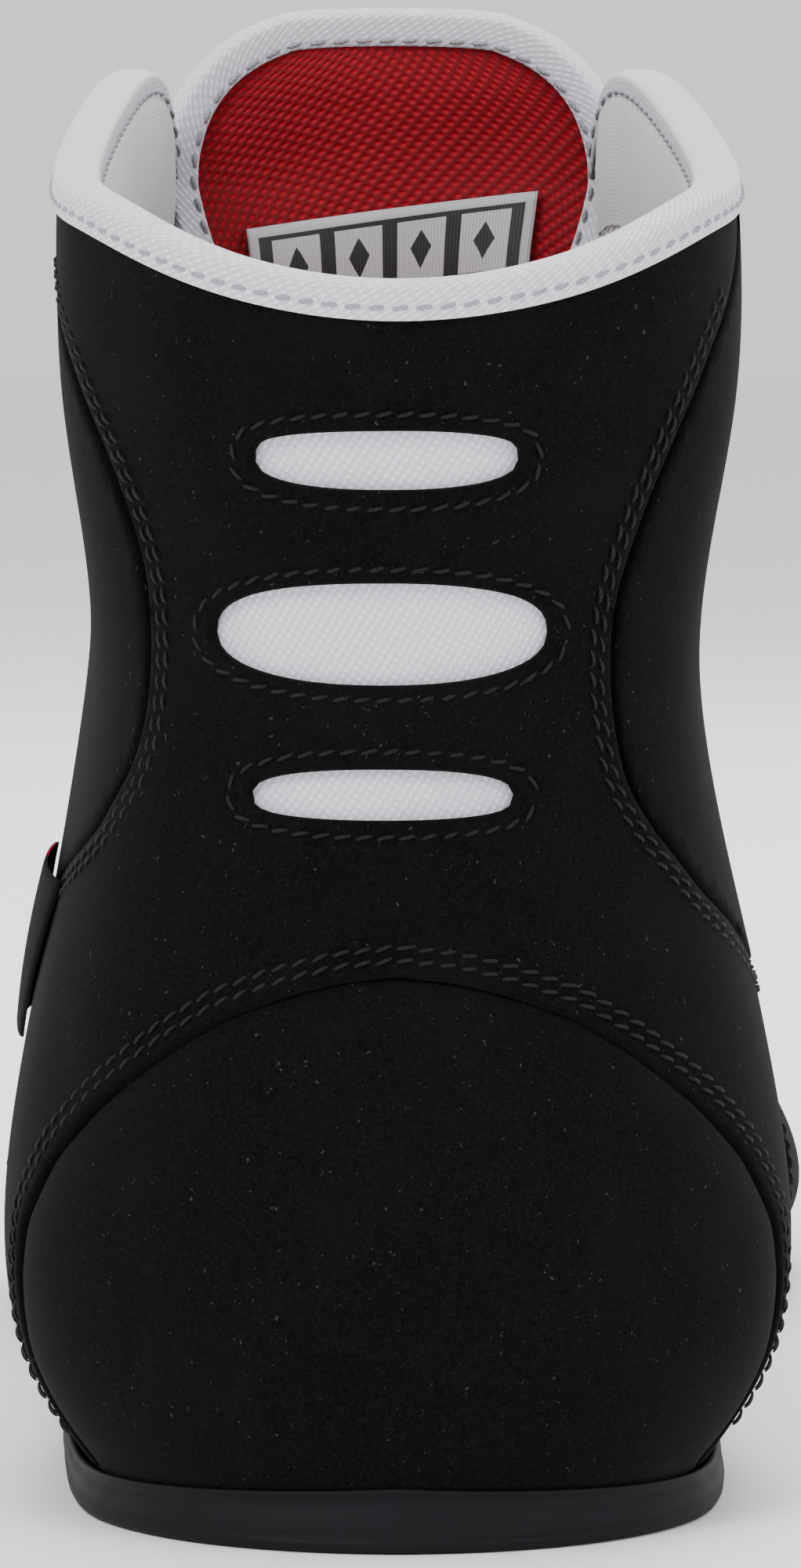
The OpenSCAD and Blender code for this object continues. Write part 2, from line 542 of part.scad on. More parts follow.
module tongue_label() {
    back = back_out - tongue_cloth;
    tilt = 1.6; // the label hangs a little askew
    grid = function(o) [for (z = label_levels) [for (k = spread(1, -1, 6))
        tongue_point(max(tongue_split + 0.6, z - tilt * k * 0.5), k * label_half, o)]];
    color([0.85, 0.85, 0.85]) shell(grid(back - 0.15), grid(back - 0.65));
}

// ---- Lace: one round lace in crosses over the tongue, its two ends tucked under the keeper ----
lace_r = lace_d / 2;
lace_sides = 8;
over_stay = suede_t + 0.2 + flange_t + lace_r + 0.8;
under_panel = -suede_t - 0.05 - flange_t - lace_r - 0.4;
top_eyelet = eyelet_pairs - 1;
function in_eyelet(side, k, out) = throat_point(side * eyelet_rib(k), eyelet_inset, out);
function over_tongue(z, x) = tongue_point(z, x, lace_r + 0.25);
// One cross: out of the eyelet, over the eyestay's edge, across, and under the other edge to the next eyelet
function crossing(side, k, lift) =
    let (t0 = eyelet_rib(k), t1 = eyelet_rib(k + 1),
         a = throat_point(side * mix(t0, t1, 0.2), 0.2, over_stay),
         b = throat_point(-side * mix(t0, t1, 0.85), 0.5, under_panel - 0.2),
         up = unit(normal(t0, top_row) + normal(-t0, top_row)))
    [in_eyelet(side, k, over_stay), a, (a + b) / 2 + (lift + k / 4) * up,
        (a + 3 * b) / 4 + (lift + k / 4) * up * 0.85, b, in_eyelet(-side, k + 1, under_panel)];
function strand(side, lift) = concat(
    [for (k = [0 : top_eyelet - 1]) each crossing(k % 2 == 0 ? side : -side, k, lift)],
    let (s = top_eyelet % 2 == 0 ? side : -side)
    [in_eyelet(s, top_eyelet, over_stay),
        throat_point(s * (eyelet_rib(top_eyelet) - 0.2), 0.2, over_stay),
        tongue_point(121.4, s * 18, lace_r + 1.6), over_tongue(124, s * 13),
        over_tongue(124.2, s * 6), over_tongue(124.2, s * 1.8)]);
bar = [in_eyelet(-1, 0, under_panel), over_tongue(66, 0), in_eyelet(1, 0, under_panel)];
function backwards(list) = [for (k = [len(list) - 1 : -1 : 0]) list[k]];
lace_route = concat(backwards(strand(-1, 3)), bar, strand(1, 5.6));
function along(route, k) = unit(route[min(k + 1, len(route) - 1)] - route[max(k - 1, 0)]);
function flat_to(v, dir) = unit(v - (v * dir) * dir);
// Each ring's frame is the one before it, turned no more than it must
function frames(route, k = 0, side = [0, 0, 1], made = []) =
    k == len(route) ? made
    : let (s = flat_to(side, along(route, k))) frames(route, k + 1, s, concat(made, [s]));
module lace() {
    f = frames(lace_route);
    n = len(lace_route);
    ring = function(k) let (w = cross(along(lace_route, k), f[k])) [for (a = [0 : 360 / lace_sides : 359])
        lace_route[k] + lace_r * (cos(a) * f[k] + sin(a) * w)];
    at = function(k, a) k * lace_sides + a % lace_sides;
    color([0.9, 0.9, 0.88])
        polyhedron(points = [for (k = [0 : n - 1]) each ring(k)],
            faces = concat([[for (a = [0 : lace_sides - 1]) a]],
                [[for (a = [lace_sides - 1 : -1 : 0]) at(n - 1, a)]],
                [for (k = [0 : n - 2]) for (a = [0 : lace_sides - 1])
                    each [[at(k, a), at(k + 1, a), at(k + 1, a + 1)],
                        [at(k, a), at(k + 1, a + 1), at(k, a + 1)]]]));
}
keeper_half = 9;
keeper_line = [[121.2, 1], [122, 3.9], [126.5, 3.9], [127.3, 1]];
keeper_t = 0.8;
module lace_keeper() {
    grid = function(drop) [for (q = keeper_line) [for (k = spread(1, -1, 4))
        tongue_point(q[0], k * keeper_half, q[1] - drop)]];
    color([0.1, 0.1, 0.1]) shell(grid(0), grid(keeper_t));
}

outsole(rear_stations);  // outsole_rear
outsole(front_stations);  // outsole_front
midsole(rear_stations);  // midsole_rear
midsole(front_stations);  // midsole_front
shank();
strobel_board(rear_stations);  // strobel_board_rear
strobel_board(front_stations);  // strobel_board_front
insole(rear_stations);  // insole_rear
insole(front_stations);  // insole_front
back_panel();
heel_cap();
heel_counter();
window_mesh();
quarter(-1);  // quarter_lateral
quarter(1);  // quarter_medial
eyestay(-1);  // eyestay_lateral
eyestay(1);  // eyestay_medial
eyelets(-1);  // eyelets_lateral
eyelets(1);  // eyelets_medial
collar_tape();
collar_foam();
collar_lining();
lining_rear();
side_tag();
vamp_crease();
lining_crease();
vamp();
toe_cap();
toe_puff();
lining_toe();
tongue_outer(low_levels);  // tongue_lower
tongue_padding(low_levels);  // tongue_foam_lower
tongue_lining(low_levels);  // tongue_lining_lower
tongue_outer(high_levels);  // tongue_upper
tongue_padding(high_levels);  // tongue_foam_upper
tongue_lining(high_levels);  // tongue_lining_upper
tongue_tape();
tongue_label();
lace();
lace_keeper();
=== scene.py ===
"""Boxing boot, left foot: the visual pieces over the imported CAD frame.

Lengths are in millimetres up to make(), which turns them into metres."""
import math

import bpy
import numpy as np
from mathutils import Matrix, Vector
from mathutils.geometry import delaunay_2d_cdt


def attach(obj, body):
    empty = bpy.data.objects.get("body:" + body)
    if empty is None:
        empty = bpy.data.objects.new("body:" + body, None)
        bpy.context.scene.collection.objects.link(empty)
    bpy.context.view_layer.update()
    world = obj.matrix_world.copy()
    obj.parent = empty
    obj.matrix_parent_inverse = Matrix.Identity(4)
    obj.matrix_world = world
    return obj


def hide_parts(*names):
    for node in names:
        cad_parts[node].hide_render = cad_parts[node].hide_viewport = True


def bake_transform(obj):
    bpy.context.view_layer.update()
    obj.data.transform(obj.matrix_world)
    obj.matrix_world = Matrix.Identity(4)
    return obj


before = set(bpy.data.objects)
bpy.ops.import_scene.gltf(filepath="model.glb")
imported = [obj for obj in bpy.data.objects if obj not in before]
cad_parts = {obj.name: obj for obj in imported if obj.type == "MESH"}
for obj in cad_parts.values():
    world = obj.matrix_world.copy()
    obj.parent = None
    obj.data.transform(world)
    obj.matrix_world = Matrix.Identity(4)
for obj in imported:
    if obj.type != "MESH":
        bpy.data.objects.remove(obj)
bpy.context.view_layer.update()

MM = 0.001
BOOT_L = 283
rng = np.random.default_rng(7)

# ---- Camera ----
camera = bpy.data.objects.new("camera", bpy.data.cameras.new("camera"))
bpy.context.scene.collection.objects.link(camera)
bpy.context.scene.camera = camera
camera.data.lens = 168
camera.data.clip_start = 0.05
camera.location = (0, (-BOOT_L / 2 - 700) * MM, 120 * MM)
aim = Vector((0, -BOOT_L / 2 * MM, 74.6 * MM))
camera.rotation_euler = (aim - camera.location).to_track_quat("-Z", "Y").to_euler()

# ---- The last: the surface that every layer of the upper follows, the same as in the CAD ----
LAST_RIB, TOP_ROW, OPEN_RIB = 15, 6, 10
FEATHER_Z, ANKLE_Y, COLLAR_BACK_Z = 4, 42, 121.5
WALL = (0, 0.09, 0.23, 0.42, 0.62, 0.82, 1)
ARCH = (0, 0.14, 0.34, 0.55, 0.76, 0.91, 1)
ARCH_X = (0, 1, 0.95, 0.78, 0.54, 0.28, 0)
ARCH_Y = (0, 0, 0.08, 0.26, 0.5, 0.77, 1)
# Half width and back line of the shaft by height, and how much fuller each side is than that
SHAFT_HALF = ((4, 30), (9, 34.4), (15, 37.6), (24, 39.2), (36, 38.8), (50, 36.8), (60, 35), (70, 32.2),
              (83, 30.6), (95, 31.3), (106, 33.1), (117, 34.8), (124, 35.1), (130, 34.5), (138, 32.8),
              (150, 30))
SHAFT_BACK = ((4, 2.6), (10, 0.6), (22, 0), (35, 1), (50, 4), (65, 7.5), (82, 9.5), (95, 9), (110, 6.5),
              (124, 4.5))
LATERAL_FULL = ((4, 2), (9, 1.3), (28, 1.2), (43, 0.6), (55, 0), (67, -0.8), (79, -0.8), (92, -0.3),
                (104, -0.1), (113, 0.7), (124, 0.9), (135, 0.6))
MEDIAL_FULL = ((4, 2.4), (9, 2.2), (28, 1.9), (45, 2.2), (55, 0.8), (64, -0.3), (79, -0.3), (90, 0.6),
               (102, 1.2), (113, 1.7), (124, 1.7), (135, 1))
BACK_ROUND = 2.15
# Ribs 4 to 15: y at the sole, half width, y, x and z at the top, share of wall
FRONT_RIBS = ((75, 37.2, 81, 29.5, 145, 1), (103, 36.5, 92, 26.6, 139, 1), (129, 38.8, 101, 26, 118, 0.9),
              (149, 42.3, 116, 22.5, 96, 0.6), (165, 45.2, 137, 16.5, 78, 0.3),
               (178, 46.8, 156, 9.5, 67, 0.1),
              (192, 47.6, 170, 0, 62, 0), (215, 46.9, 204, 0, 50.5, 0), (240, 40.5, 231, 0, 43, 0),
              (262, 28.5, 251, 0, 37.5, 0), (276, 15, 264.5, 0, 32.5, 0), (283, 0, 272, 0, 28.5, 0))
LATERAL_SHARE = ((0, 1), (60, 1), (105, 1.03), (150, 1.03), (180, 1.015), (215, 0.98), (283, 0.97))
MEDIAL_SHARE = ((0, 1), (60, 0.98), (105, 0.92), (150, 0.95), (185, 1), (215, 1.03), (283, 1.03))
CENTRE_X = ((0, -0.3), (120, -0.8), (180, 0), (215, 1.5), (250, 4.5), (283, 7))
ANKLE_IN = {4: (0, 0, 0, 0.6, 2.6, 1.6, 0), 5: (0, 0, 0.3, 2.2, 3.4, 1.8, 0), 6: (0, 0, 0.3, 2.4, 2.6, 1, 0)}
SPRING_Y, TOE_SPRING = 215, 5
STEP = 0.02


def lookup(value, table):
    """Straight-line interpolation in a table of (key, value) pairs."""
    keys, values = zip(*table)
    return np.interp(value, keys, values)


def mix(a, b, k):
    return a + (b - a) * k


def spring(y):
    """How far the toe springs up at y from the back of the heel."""
    return TOE_SPRING * (np.maximum(0, y - SPRING_Y) / (BOOT_L - SPRING_Y)) ** 2


def even_point(i, j):
    """Point j of rib i on an even boot, medial side."""
    if i < 4:
        angle = math.radians(30 * i)
        z = mix(FEATHER_Z, mix(COLLAR_BACK_Z, 134, math.sin(angle) ** 2), WALL[j])
        across, back = (abs(f(angle)) ** (2 / BACK_ROUND) for f in (math.sin, math.cos))
        return lookup(z, SHAFT_HALF) * across, ANKLE_Y - (ANKLE_Y - lookup(z, SHAFT_BACK)) * back, z
    y0, half, y1, x1, top, wall = FRONT_RIBS[i - 4]
    x = half - min(half, 4) if j == 0 else mix(x1, half, ARCH_X[j])
    y = mix(y0, y1, ARCH_Y[j]) - (2 if i == LAST_RIB and j == 0 else 0)
    z = mix(FEATHER_Z, top, mix(ARCH[j], WALL[j], wall)) + spring(y0)
    return x - ANKLE_IN.get(i, (0,) * 7)[j], y, z


def side_point(side, i, j):
    x, y, z = even_point(i, j)
    share = lookup(y, LATERAL_SHARE if side < 0 else MEDIAL_SHARE)
    full = lookup(z, LATERAL_FULL if side < 0 else MEDIAL_FULL) * (0, 0.5, 0.87, 1, 0.5, 0)[min(5, i)]
    return np.array([lookup(y, CENTRE_X) + side * (share * x + full), y, z])


def net_point(side, i, j):
    """The net goes on past its edges: over the centre line to the other side, or straight on."""
    if i < 0:
        return net_point(-side, -i, j)
    if i > LAST_RIB:
        return net_point(-side, 2 * LAST_RIB - i, j)
    if j < 0:
        return 2 * side_point(side, i, 0) - side_point(side, i, -j)
    if j > TOP_ROW:
        if i >= OPEN_RIB:
            return side_point(-side, i, 2 * TOP_ROW - j)
        return 2 * side_point(side, i, TOP_ROW) - side_point(side, i, 2 * TOP_ROW - j)
    return side_point(side, i, j)


def control_net(side):
    points = np.array([[net_point(side, i, j) for j in range(-2, TOP_ROW + 3)]
                       for i in range(-2, LAST_RIB + 3)])
    rows = (8 * points[:, 1:-1] - points[:, :-2] - points[:, 2:]) / 6
    return (8 * rows[1:-1] - rows[:-2] - rows[2:]) / 6


NETS = np.array([control_net(-1), control_net(1)])


def weights(f):
    return np.stack([(1 - f) ** 3, 3 * f**3 - 6 * f * f + 4, -3 * f**3 + 3 * f * f + 3 * f + 1, f**3], -1) / 6


def last(t, h):
    """Points of the last at ribs t and rows h (arrays), y from the back of the heel."""
    t, h = np.broadcast_arrays(np.asarray(t, float), np.asarray(h, float))
    side = (t >= 0).astype(int)
    u, v = np.clip(abs(t), 0, LAST_RIB - 1e-6), np.clip(h, 0, TOP_ROW - 1e-6)
    i, j = u.astype(int), v.astype(int)
    wu, wv = weights(u - i), weights(v - j)
    out = np.zeros(t.shape + (3,))
    for a in range(4):
        for b in range(4):
            out += (wu[..., a] * wv[..., b])[..., None] * NETS[side, i + a, j + b]
    return out


def unit(v):
    return v / np.maximum(np.linalg.norm(v, axis=-1, keepdims=True), 1e-12)


def normal(t, h):
    h = np.asarray(h, float)
    dt = last(t + STEP, h) - last(t - STEP, h)
    dh = last(t, np.minimum(TOP_ROW, h + STEP)) - last(t, np.maximum(0, h - STEP))
    return unit(np.cross(dt, dh))


def layer(t, h, out=0.0):
    """Points some distance outside the last, in the boot's frame."""
    t, h = np.broadcast_arrays(np.asarray(t, float), np.asarray(h, float))
    return last(t, h) + np.asarray(out, float)[..., None] * normal(t, h) - [0, BOOT_L / 2, 0]


def below(t, d):
    """Row that lies d below the top edge."""
    return TOP_ROW - d * 0.4 / np.linalg.norm(last(t, TOP_ROW) - last(t, TOP_ROW - 0.4), axis=-1)


def edge_point(t, d, out):
    t, d, out = np.broadcast_arrays(*(np.asarray(v, float) for v in (t, d, out)))
    rise = unit(last(t, TOP_ROW) - last(t, TOP_ROW - 0.2))
    return layer(t, below(t, np.maximum(d, 0)), out) + np.maximum(0, -d)[..., None] * rise


def from_behind(x, z):
    """Rib and row of the back's point that shows at x, z when seen from straight behind."""
    x, z = np.asarray(x, float), np.asarray(z, float)
    t, h = x / 14, z / 24
    for _ in range(12):
        p = last(t, h)
        a = (last(t + STEP, h) - last(t - STEP, h)) / (2 * STEP)
        b = (last(t, h + STEP) - last(t, h - STEP)) / (2 * STEP)
        det = a[..., 0] * b[..., 2] - a[..., 2] * b[..., 0]
        ex, ez = x - p[..., 0], z - p[..., 2]
        t = t + (ex * b[..., 2] - ez * b[..., 0]) / det
        h = h + (ez * a[..., 0] - ex * a[..., 2]) / det
    return t, h


def walk(t, h, edge, d):
    """Rib and row some distance d from the throat's edge, square to it."""
    while d > 0:
        pace = min(d, 3)
        a = (last(t + STEP, h) - last(t - STEP, h)) / (2 * STEP)
        b = (last(t, h) - last(t, h - STEP)) / STEP
        w = pace * unit(np.cross(edge, normal(t, h)))
        aa, bb, ab, aw, bw = ((p * q).sum(-1) for p, q in ((a, a), (b, b), (a, b), (a, w), (b, w)))
        det = aa * bb - ab * ab
        t, h, d = t + (aw * bb - bw * ab) / det, h + (bw * aa - aw * ab) / det, d - pace
    return t, h


def throat_place(t, d):
    t = np.asarray(t, float)
    return walk(t, np.full(t.shape, TOP_ROW - STEP), last(t + STEP, TOP_ROW) - last(t - STEP, TOP_ROW), d)


def throat_point(t, d, out):
    return layer(*throat_place(t, d), out)


def make(name, points, faces, material, node=(), body="boot", uv=None, bend=None):
    """A mesh object from points in mm. node names the CAD nodes that it stands for."""
    mesh = bpy.data.meshes.new(name)
    places = np.asarray(points).reshape(-1, 3) * MM
    mesh.from_pydata(places.tolist(), [], [list(map(int, f)) for f in faces])
    if uv is not None:
        table = np.asarray(uv, float).reshape(-1, 2)
        corners = np.empty(len(mesh.loops), int)
        mesh.loops.foreach_get("vertex_index", corners)
        mesh.uv_layers.new(name="mm").data.foreach_set("uv", table[corners].ravel())
    mesh.shade_smooth()
    mesh.materials.append(material)
    obj = bpy.data.objects.new(name, mesh)
    bpy.context.scene.collection.objects.link(obj)
    if bend:
        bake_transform(obj)
    else:
        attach(obj, body)
    if node:
        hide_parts(*node)
    return obj


def grid_faces(rows, cols, start=0, wrap=False):
    """Quads of a rows by cols grid of points; wrap joins the last column to the first."""
    r, c = np.meshgrid(np.arange(rows - 1), np.arange(cols if wrap else cols - 1), indexing="ij")
    d = (c + 1) % cols
    corners = (r * cols + c, r * cols + d, (r + 1) * cols + d, (r + 1) * cols + c)
    return (np.stack(corners, -1).reshape(-1, 4) + start).tolist()


def arc_uv(grid):
    """Texture coordinates in mm along the columns (u) and rows (v) of a grid of points."""
    u = np.cumsum(np.linalg.norm(np.diff(grid, axis=1, prepend=grid[:, :1]), axis=-1), axis=1)
    v = np.cumsum(np.linalg.norm(np.diff(grid, axis=0, prepend=grid[:1]), axis=-1), axis=0)
    return np.stack([np.broadcast_to(u.mean(0), u.shape), v], -1)


def resample(path, pitch, closed=False):
    """Even steps of about pitch along a polyline in any number of dimensions."""
    path = np.asarray(path, float)
    if closed:
        path = np.vstack([path, path[:1]])
    s = np.concatenate([[0], np.cumsum(np.linalg.norm(np.diff(path, axis=0), axis=1))])
    n = max(2, int(round(s[-1] / pitch)))
    at = np.linspace(0, s[-1], n + 1)[: n if closed else n + 1]
    return np.stack([np.interp(at, s, path[:, k]) for k in range(path.shape[1])], 1)


def smooth_line(keys, n=160, rounds=12):
    """A smooth line through a few (a, b) keys, evenly stepped and then relaxed."""
    line = resample(np.asarray(keys, float), np.linalg.norm(np.ptp(keys, axis=0)) / n)
    for _ in range(rounds):
        line[1:-1] = (line[:-2] + 2 * line[1:-1] + line[2:]) / 4
    return line


DOMAIN = 17.0  # mm to a rib or a row, roughly, when a panel is filled with points


HIDE = 1.3  # thickness of the suede
CUT_ROUND = 0.35  # rounding of its cut edges


def crossings(points, loops):
    """How often a level ray from each point meets the loops: an odd number inside them."""
    count = np.zeros(len(points), int)
    for loop in loops:
        for a, b in zip(loop, np.roll(loop, -1, axis=0)):
            spans = (a[1] > points[:, 1]) != (b[1] > points[:, 1])
            x = a[0] + (points[:, 1] - a[1]) / (b[1] - a[1] + 1e-12) * (b[0] - a[0])
            count += spans & (points[:, 0] < x)
    return count


def panel(name, loops, cloth, pitch, node, bend, shape):
    """A suede panel cut to closed loops of (rib, row) points: its outline first, then its openings.
    shape(points) gives a further outward offset for its face."""
    fine = pitch * 1
    loops = [resample(np.asarray(loop) * DOMAIN, fine, closed=True) for loop in loops]
    border = np.vstack(loops)
    low, high = border.min(0), border.max(0)
    xs, ys = np.arange(low[0], high[0], fine), np.arange(low[1], high[1], fine * 0.87)
    fill = np.array([(x + (fine / 2 if k % 2 else 0), y) for k, y in enumerate(ys) for x in xs])
    keep = crossings(fill, loops) % 2 == 1
    for spot in border:
        keep &= ((fill - spot) ** 2).sum(1) > (0.55 * fine) ** 2
    edges, start = [], 0
    for loop in loops:
        edges += [(start + k, start + (k + 1) % len(loop)) for k in range(len(loop))]
        start += len(loop)
    result = delaunay_2d_cdt([Vector(spot) for spot in np.vstack([border, fill[keep]])], edges, [], 0, 1e-4)
    domain = np.array([tuple(v) for v in result[0]])
    tris = np.array([f for f in result[2] if len(f) == 3])
    tris = tris[crossings(domain[tris].mean(1), loops) % 2 == 1]
    # Counterclockwise in rib and row is outward on the boot
    a, b, c = (domain[tris[:, k]] for k in range(3))
    turn = (b[:, 0] - a[:, 0]) * (c[:, 1] - a[:, 1]) - (b[:, 1] - a[:, 1]) * (c[:, 0] - a[:, 0])
    tris[turn < 0] = tris[turn < 0][:, ::-1]
    t, h = domain[:, 0] / DOMAIN, domain[:, 1] / DOMAIN
    p, n = layer(t, h), normal(t, h)
    raised = shape(p)
    # The face draws in a little along its border, so that the cut edge is round
    pairs = dict.fromkeys((q, r) for f in tris for q, r in ((f[0], f[1]), (f[1], f[2]), (f[2], f[0])))
    cut = [(q, r) for q, r in pairs if (r, q) not in pairs]
    inward = np.zeros((len(p), 3))
    for q, r in cut:
        across = np.cross(n[q], p[r] - p[q])
        inward[q] += across
        inward[r] += across
    ids = np.array(sorted({q for pair in cut for q in pair}))
    index = {q: k for k, q in enumerate(ids)}
    face = p + raised[:, None] * n
    face[ids] += 0.9 * CUT_ROUND * unit(inward)[ids]
    shoulder = p[ids] + (raised[ids] - CUT_ROUND)[:, None] * n[ids]
    points = [face, shoulder, p[ids] - HIDE * n[ids]]
    base1, base2 = len(p), len(p) + len(ids)
    faces = tris.tolist()
    for q, r in cut:
        i, j = index[q], index[r]
        faces += [[q, base1 + i, base1 + j, r], [base1 + i, base2 + i, base2 + j, base1 + j]]
    flat = np.stack([p[:, 0] * 0.7 + p[:, 1] * 0.7, p[:, 2]], -1)
    uv = [flat, flat[ids], flat[ids]]
    faces += (tris[:, ::-1] + base2 + len(ids)).tolist()
    points.append(p - HIDE * n)
    uv.append(flat)
    return make(name, np.vstack(points), faces, cloth, node, uv=np.vstack(uv), bend=bend)


# ---- Materials, all procedural ----
def material(name, colour, rough=0.6, metal=0.0, sheen=0.0):
    m = bpy.data.materials.new(name)
    m.use_nodes = True
    shader = m.node_tree.nodes["Principled BSDF"]
    shader.inputs["Base Color"].default_value = (*colour, 1)
    shader.inputs["Roughness"].default_value = rough
    shader.inputs["Metallic"].default_value = metal
    shader.inputs["Sheen Weight"].default_value = sheen
    shader.inputs["Sheen Roughness"].default_value = 0.5
    return m, m.node_tree, shader


def node(tree, kind, inputs=None, **settings):
    n = tree.nodes.new("ShaderNode" + kind)
    for key, value in settings.items():
        setattr(n, key, value)
    for key, value in (inputs or {}).items():
        if hasattr(value, "links"):
            tree.links.new(value, n.inputs[key])
        else:
            n.inputs[key].default_value = value
    return n


def math_node(tree, operation, a, b=0.0, c=0.0):
    return node(tree, "Math", {0: a, 1: b, 2: c}, operation=operation).outputs[0]


def mixed(tree, factor, a, b):
    """Colour a where factor is 0 and b where it is 1."""
    n = node(tree, "Mix", data_type="RGBA")
    for socket, value in ((n.inputs[0], factor), (n.inputs[6], a), (n.inputs[7], b)):
        if hasattr(value, "links"):
            tree.links.new(value, socket)
        else:
            socket.default_value = value if isinstance(value, float) else (*value, 1)
    return n.outputs[2]


def ramp(tree, value, low, high):
    """0 below low, 1 above high."""
    return node(tree, "MapRange", {"Value": value, "From Min": low, "From Max": high}).outputs[0]


def bump(tree, shader, height, depth_mm, strength, under=None):
    n = node(tree, "Bump", {"Height": height, "Distance": depth_mm * MM, "Strength": strength})
    if under is not None:
        tree.links.new(under, n.inputs["Normal"])
    tree.links.new(n.outputs[0], shader.inputs["Normal"])
    return n.outputs[0]


def noise(tree, per_mm, detail=3, rough=0.6):
    where = node(tree, "TexCoord").outputs["Object"]
    settings = {"Vector": where, "Scale": per_mm / MM, "Detail": detail, "Roughness": rough}
    return node(tree, "TexNoise", settings).outputs[0]


def threads(tree, angle, per_mm):
    """A sine across parallel threads: the texture runs along u after a turn by angle."""
    where = node(tree, "TexCoord").outputs["UV"]
    turned = node(tree, "VectorRotate", {"Vector": where, "Angle": math.radians(angle)},
                  rotation_type="Z_AXIS")
    along = node(tree, "SeparateXYZ", {0: turned.outputs[0]}).outputs[0]
    return math_node(tree, "SINE", math_node(tree, "MULTIPLY", along, 2 * math.pi * per_mm))


def suede(name, base, light):
    """Black nap: cloudy brushed patches, with a few pale specks of lint."""
    m, tree, shader = material(name, (base,) * 3, 0.95, sheen=0.02)
    shader.inputs["Specular IOR Level"].default_value = 0.05
    nap, cloud = noise(tree, 2.6, 4, 0.75), noise(tree, 0.09, 3)
    lint = ramp(tree, noise(tree, 1.15, 2, 0.9), 0.685, 0.72)
    tone = mixed(tree, ramp(tree, nap, 0.35, 0.75), (base,) * 3, (light, light * 1.01, light * 1.05))
    tone = mixed(tree, math_node(tree, "MULTIPLY", ramp(tree, cloud, 0.45, 0.75), 0.4), tone, (light,) * 3)
    tone = mixed(tree, math_node(tree, "MULTIPLY", lint, 0.3), tone, (0.09, 0.09, 0.1))
    tree.links.new(tone, shader.inputs["Base Color"])
    soft = bump(tree, shader, cloud, 0.5, 0.25)
    bump(tree, shader, nap, 0.14, 0.55, under=soft)
    return m


def woven(name, colour, angle, per_mm, depth=0.09, shade=0.75, rough=0.8, cross=None, sheen=0.1):
    """A ribbed or twill weave; cross adds threads the other way."""
    m, tree, shader = material(name, colour, rough, sheen=sheen)
    shader.inputs["Specular IOR Level"].default_value = 0.25
    height = ramp(tree, threads(tree, angle, per_mm), -1.0, 1.0)
    if cross is not None:
        height = math_node(tree, "MULTIPLY", height, ramp(tree, threads(tree, angle + 90, cross), -1.6, 1.0))
    wear = noise(tree, 0.35, 3)
    dark = tuple(c * shade for c in colour)
    tone = mixed(tree, height, dark, colour)
    tone = mixed(tree, math_node(tree, "MULTIPLY", ramp(tree, wear, 0.5, 0.8), 0.25), tone, dark)
    tree.links.new(tone, shader.inputs["Base Color"])
    bump(tree, shader, height, depth, 0.8)
    return m


def knit(name, colour, hole, pitch, open_share, depth, sheen=0.2):
    """A knit with rows of round openings, every other row shifted by half a pitch."""
    m, tree, shader = material(name, colour, 0.75, sheen=sheen)
    shader.inputs["Specular IOR Level"].default_value = 0.2
    part = node(tree, "SeparateXYZ", {0: node(tree, "TexCoord").outputs["UV"]}).outputs
    u = math_node(tree, "DIVIDE", part[0], pitch)
    v = math_node(tree, "DIVIDE", part[1], pitch * 0.8)
    odd = math_node(tree, "MULTIPLY", math_node(tree, "MODULO", math_node(tree, "FLOOR", v), 2.0), 0.5)
    fu = math_node(tree, "SUBTRACT", math_node(tree, "FRACT", math_node(tree, "ADD", u, odd)), 0.5)
    fv = math_node(tree, "SUBTRACT", math_node(tree, "FRACT", v), 0.5)
    far = math_node(tree, "SQRT", math_node(tree, "ADD", math_node(tree, "MULTIPLY", fu, fu),
                                            math_node(tree, "MULTIPLY", fv, fv)))
    solid = ramp(tree, far, open_share * 0.6, open_share * 1.15)
    fine = noise(tree, 3.0, 2, 0.7)
    tone = mixed(tree, solid, hole, colour)
    tone = mixed(tree, math_node(tree, "MULTIPLY", ramp(tree, fine, 0.4, 0.8), 0.3), tone,
                 tuple(c * 0.7 for c in colour))
    tree.links.new(tone, shader.inputs["Base Color"])
    first = bump(tree, shader, solid, depth, 0.9)
    bump(tree, shader, fine, 0.06, 0.4, under=first)
    return m


def rubber(name, colour):
    m, tree, shader = material(name, colour, 0.6)
    shader.inputs["Specular IOR Level"].default_value = 0.14
    grain, scuff = noise(tree, 3.5, 3), noise(tree, 0.12, 4, 0.7)
    tone = mixed(tree, ramp(tree, scuff, 0.4, 0.75), colour, tuple(c * 1.45 for c in colour))
    tree.links.new(tone, shader.inputs["Base Color"])
    tree.links.new(node(tree, "MapRange", {"Value": scuff, "To Min": 0.5, "To Max": 0.72}).outputs[0],
                   shader.inputs["Roughness"])
    bump(tree, shader, grain, 0.05, 0.5)
    return m


def cord_cloth(name, colour):
    """A braid: two sets of threads that cross on the cord."""
    m, tree, shader = material(name, colour, 0.7, sheen=0.3)
    a, b = threads(tree, 38, 0.9), threads(tree, -38, 0.9)
    height = ramp(tree, math_node(tree, "MAXIMUM", a, b), -0.4, 1.0)
    tree.links.new(mixed(tree, height, tuple(c * 0.45 for c in colour), colour), shader.inputs["Base Color"])
    bump(tree, shader, height, 0.12, 0.9)
    return m


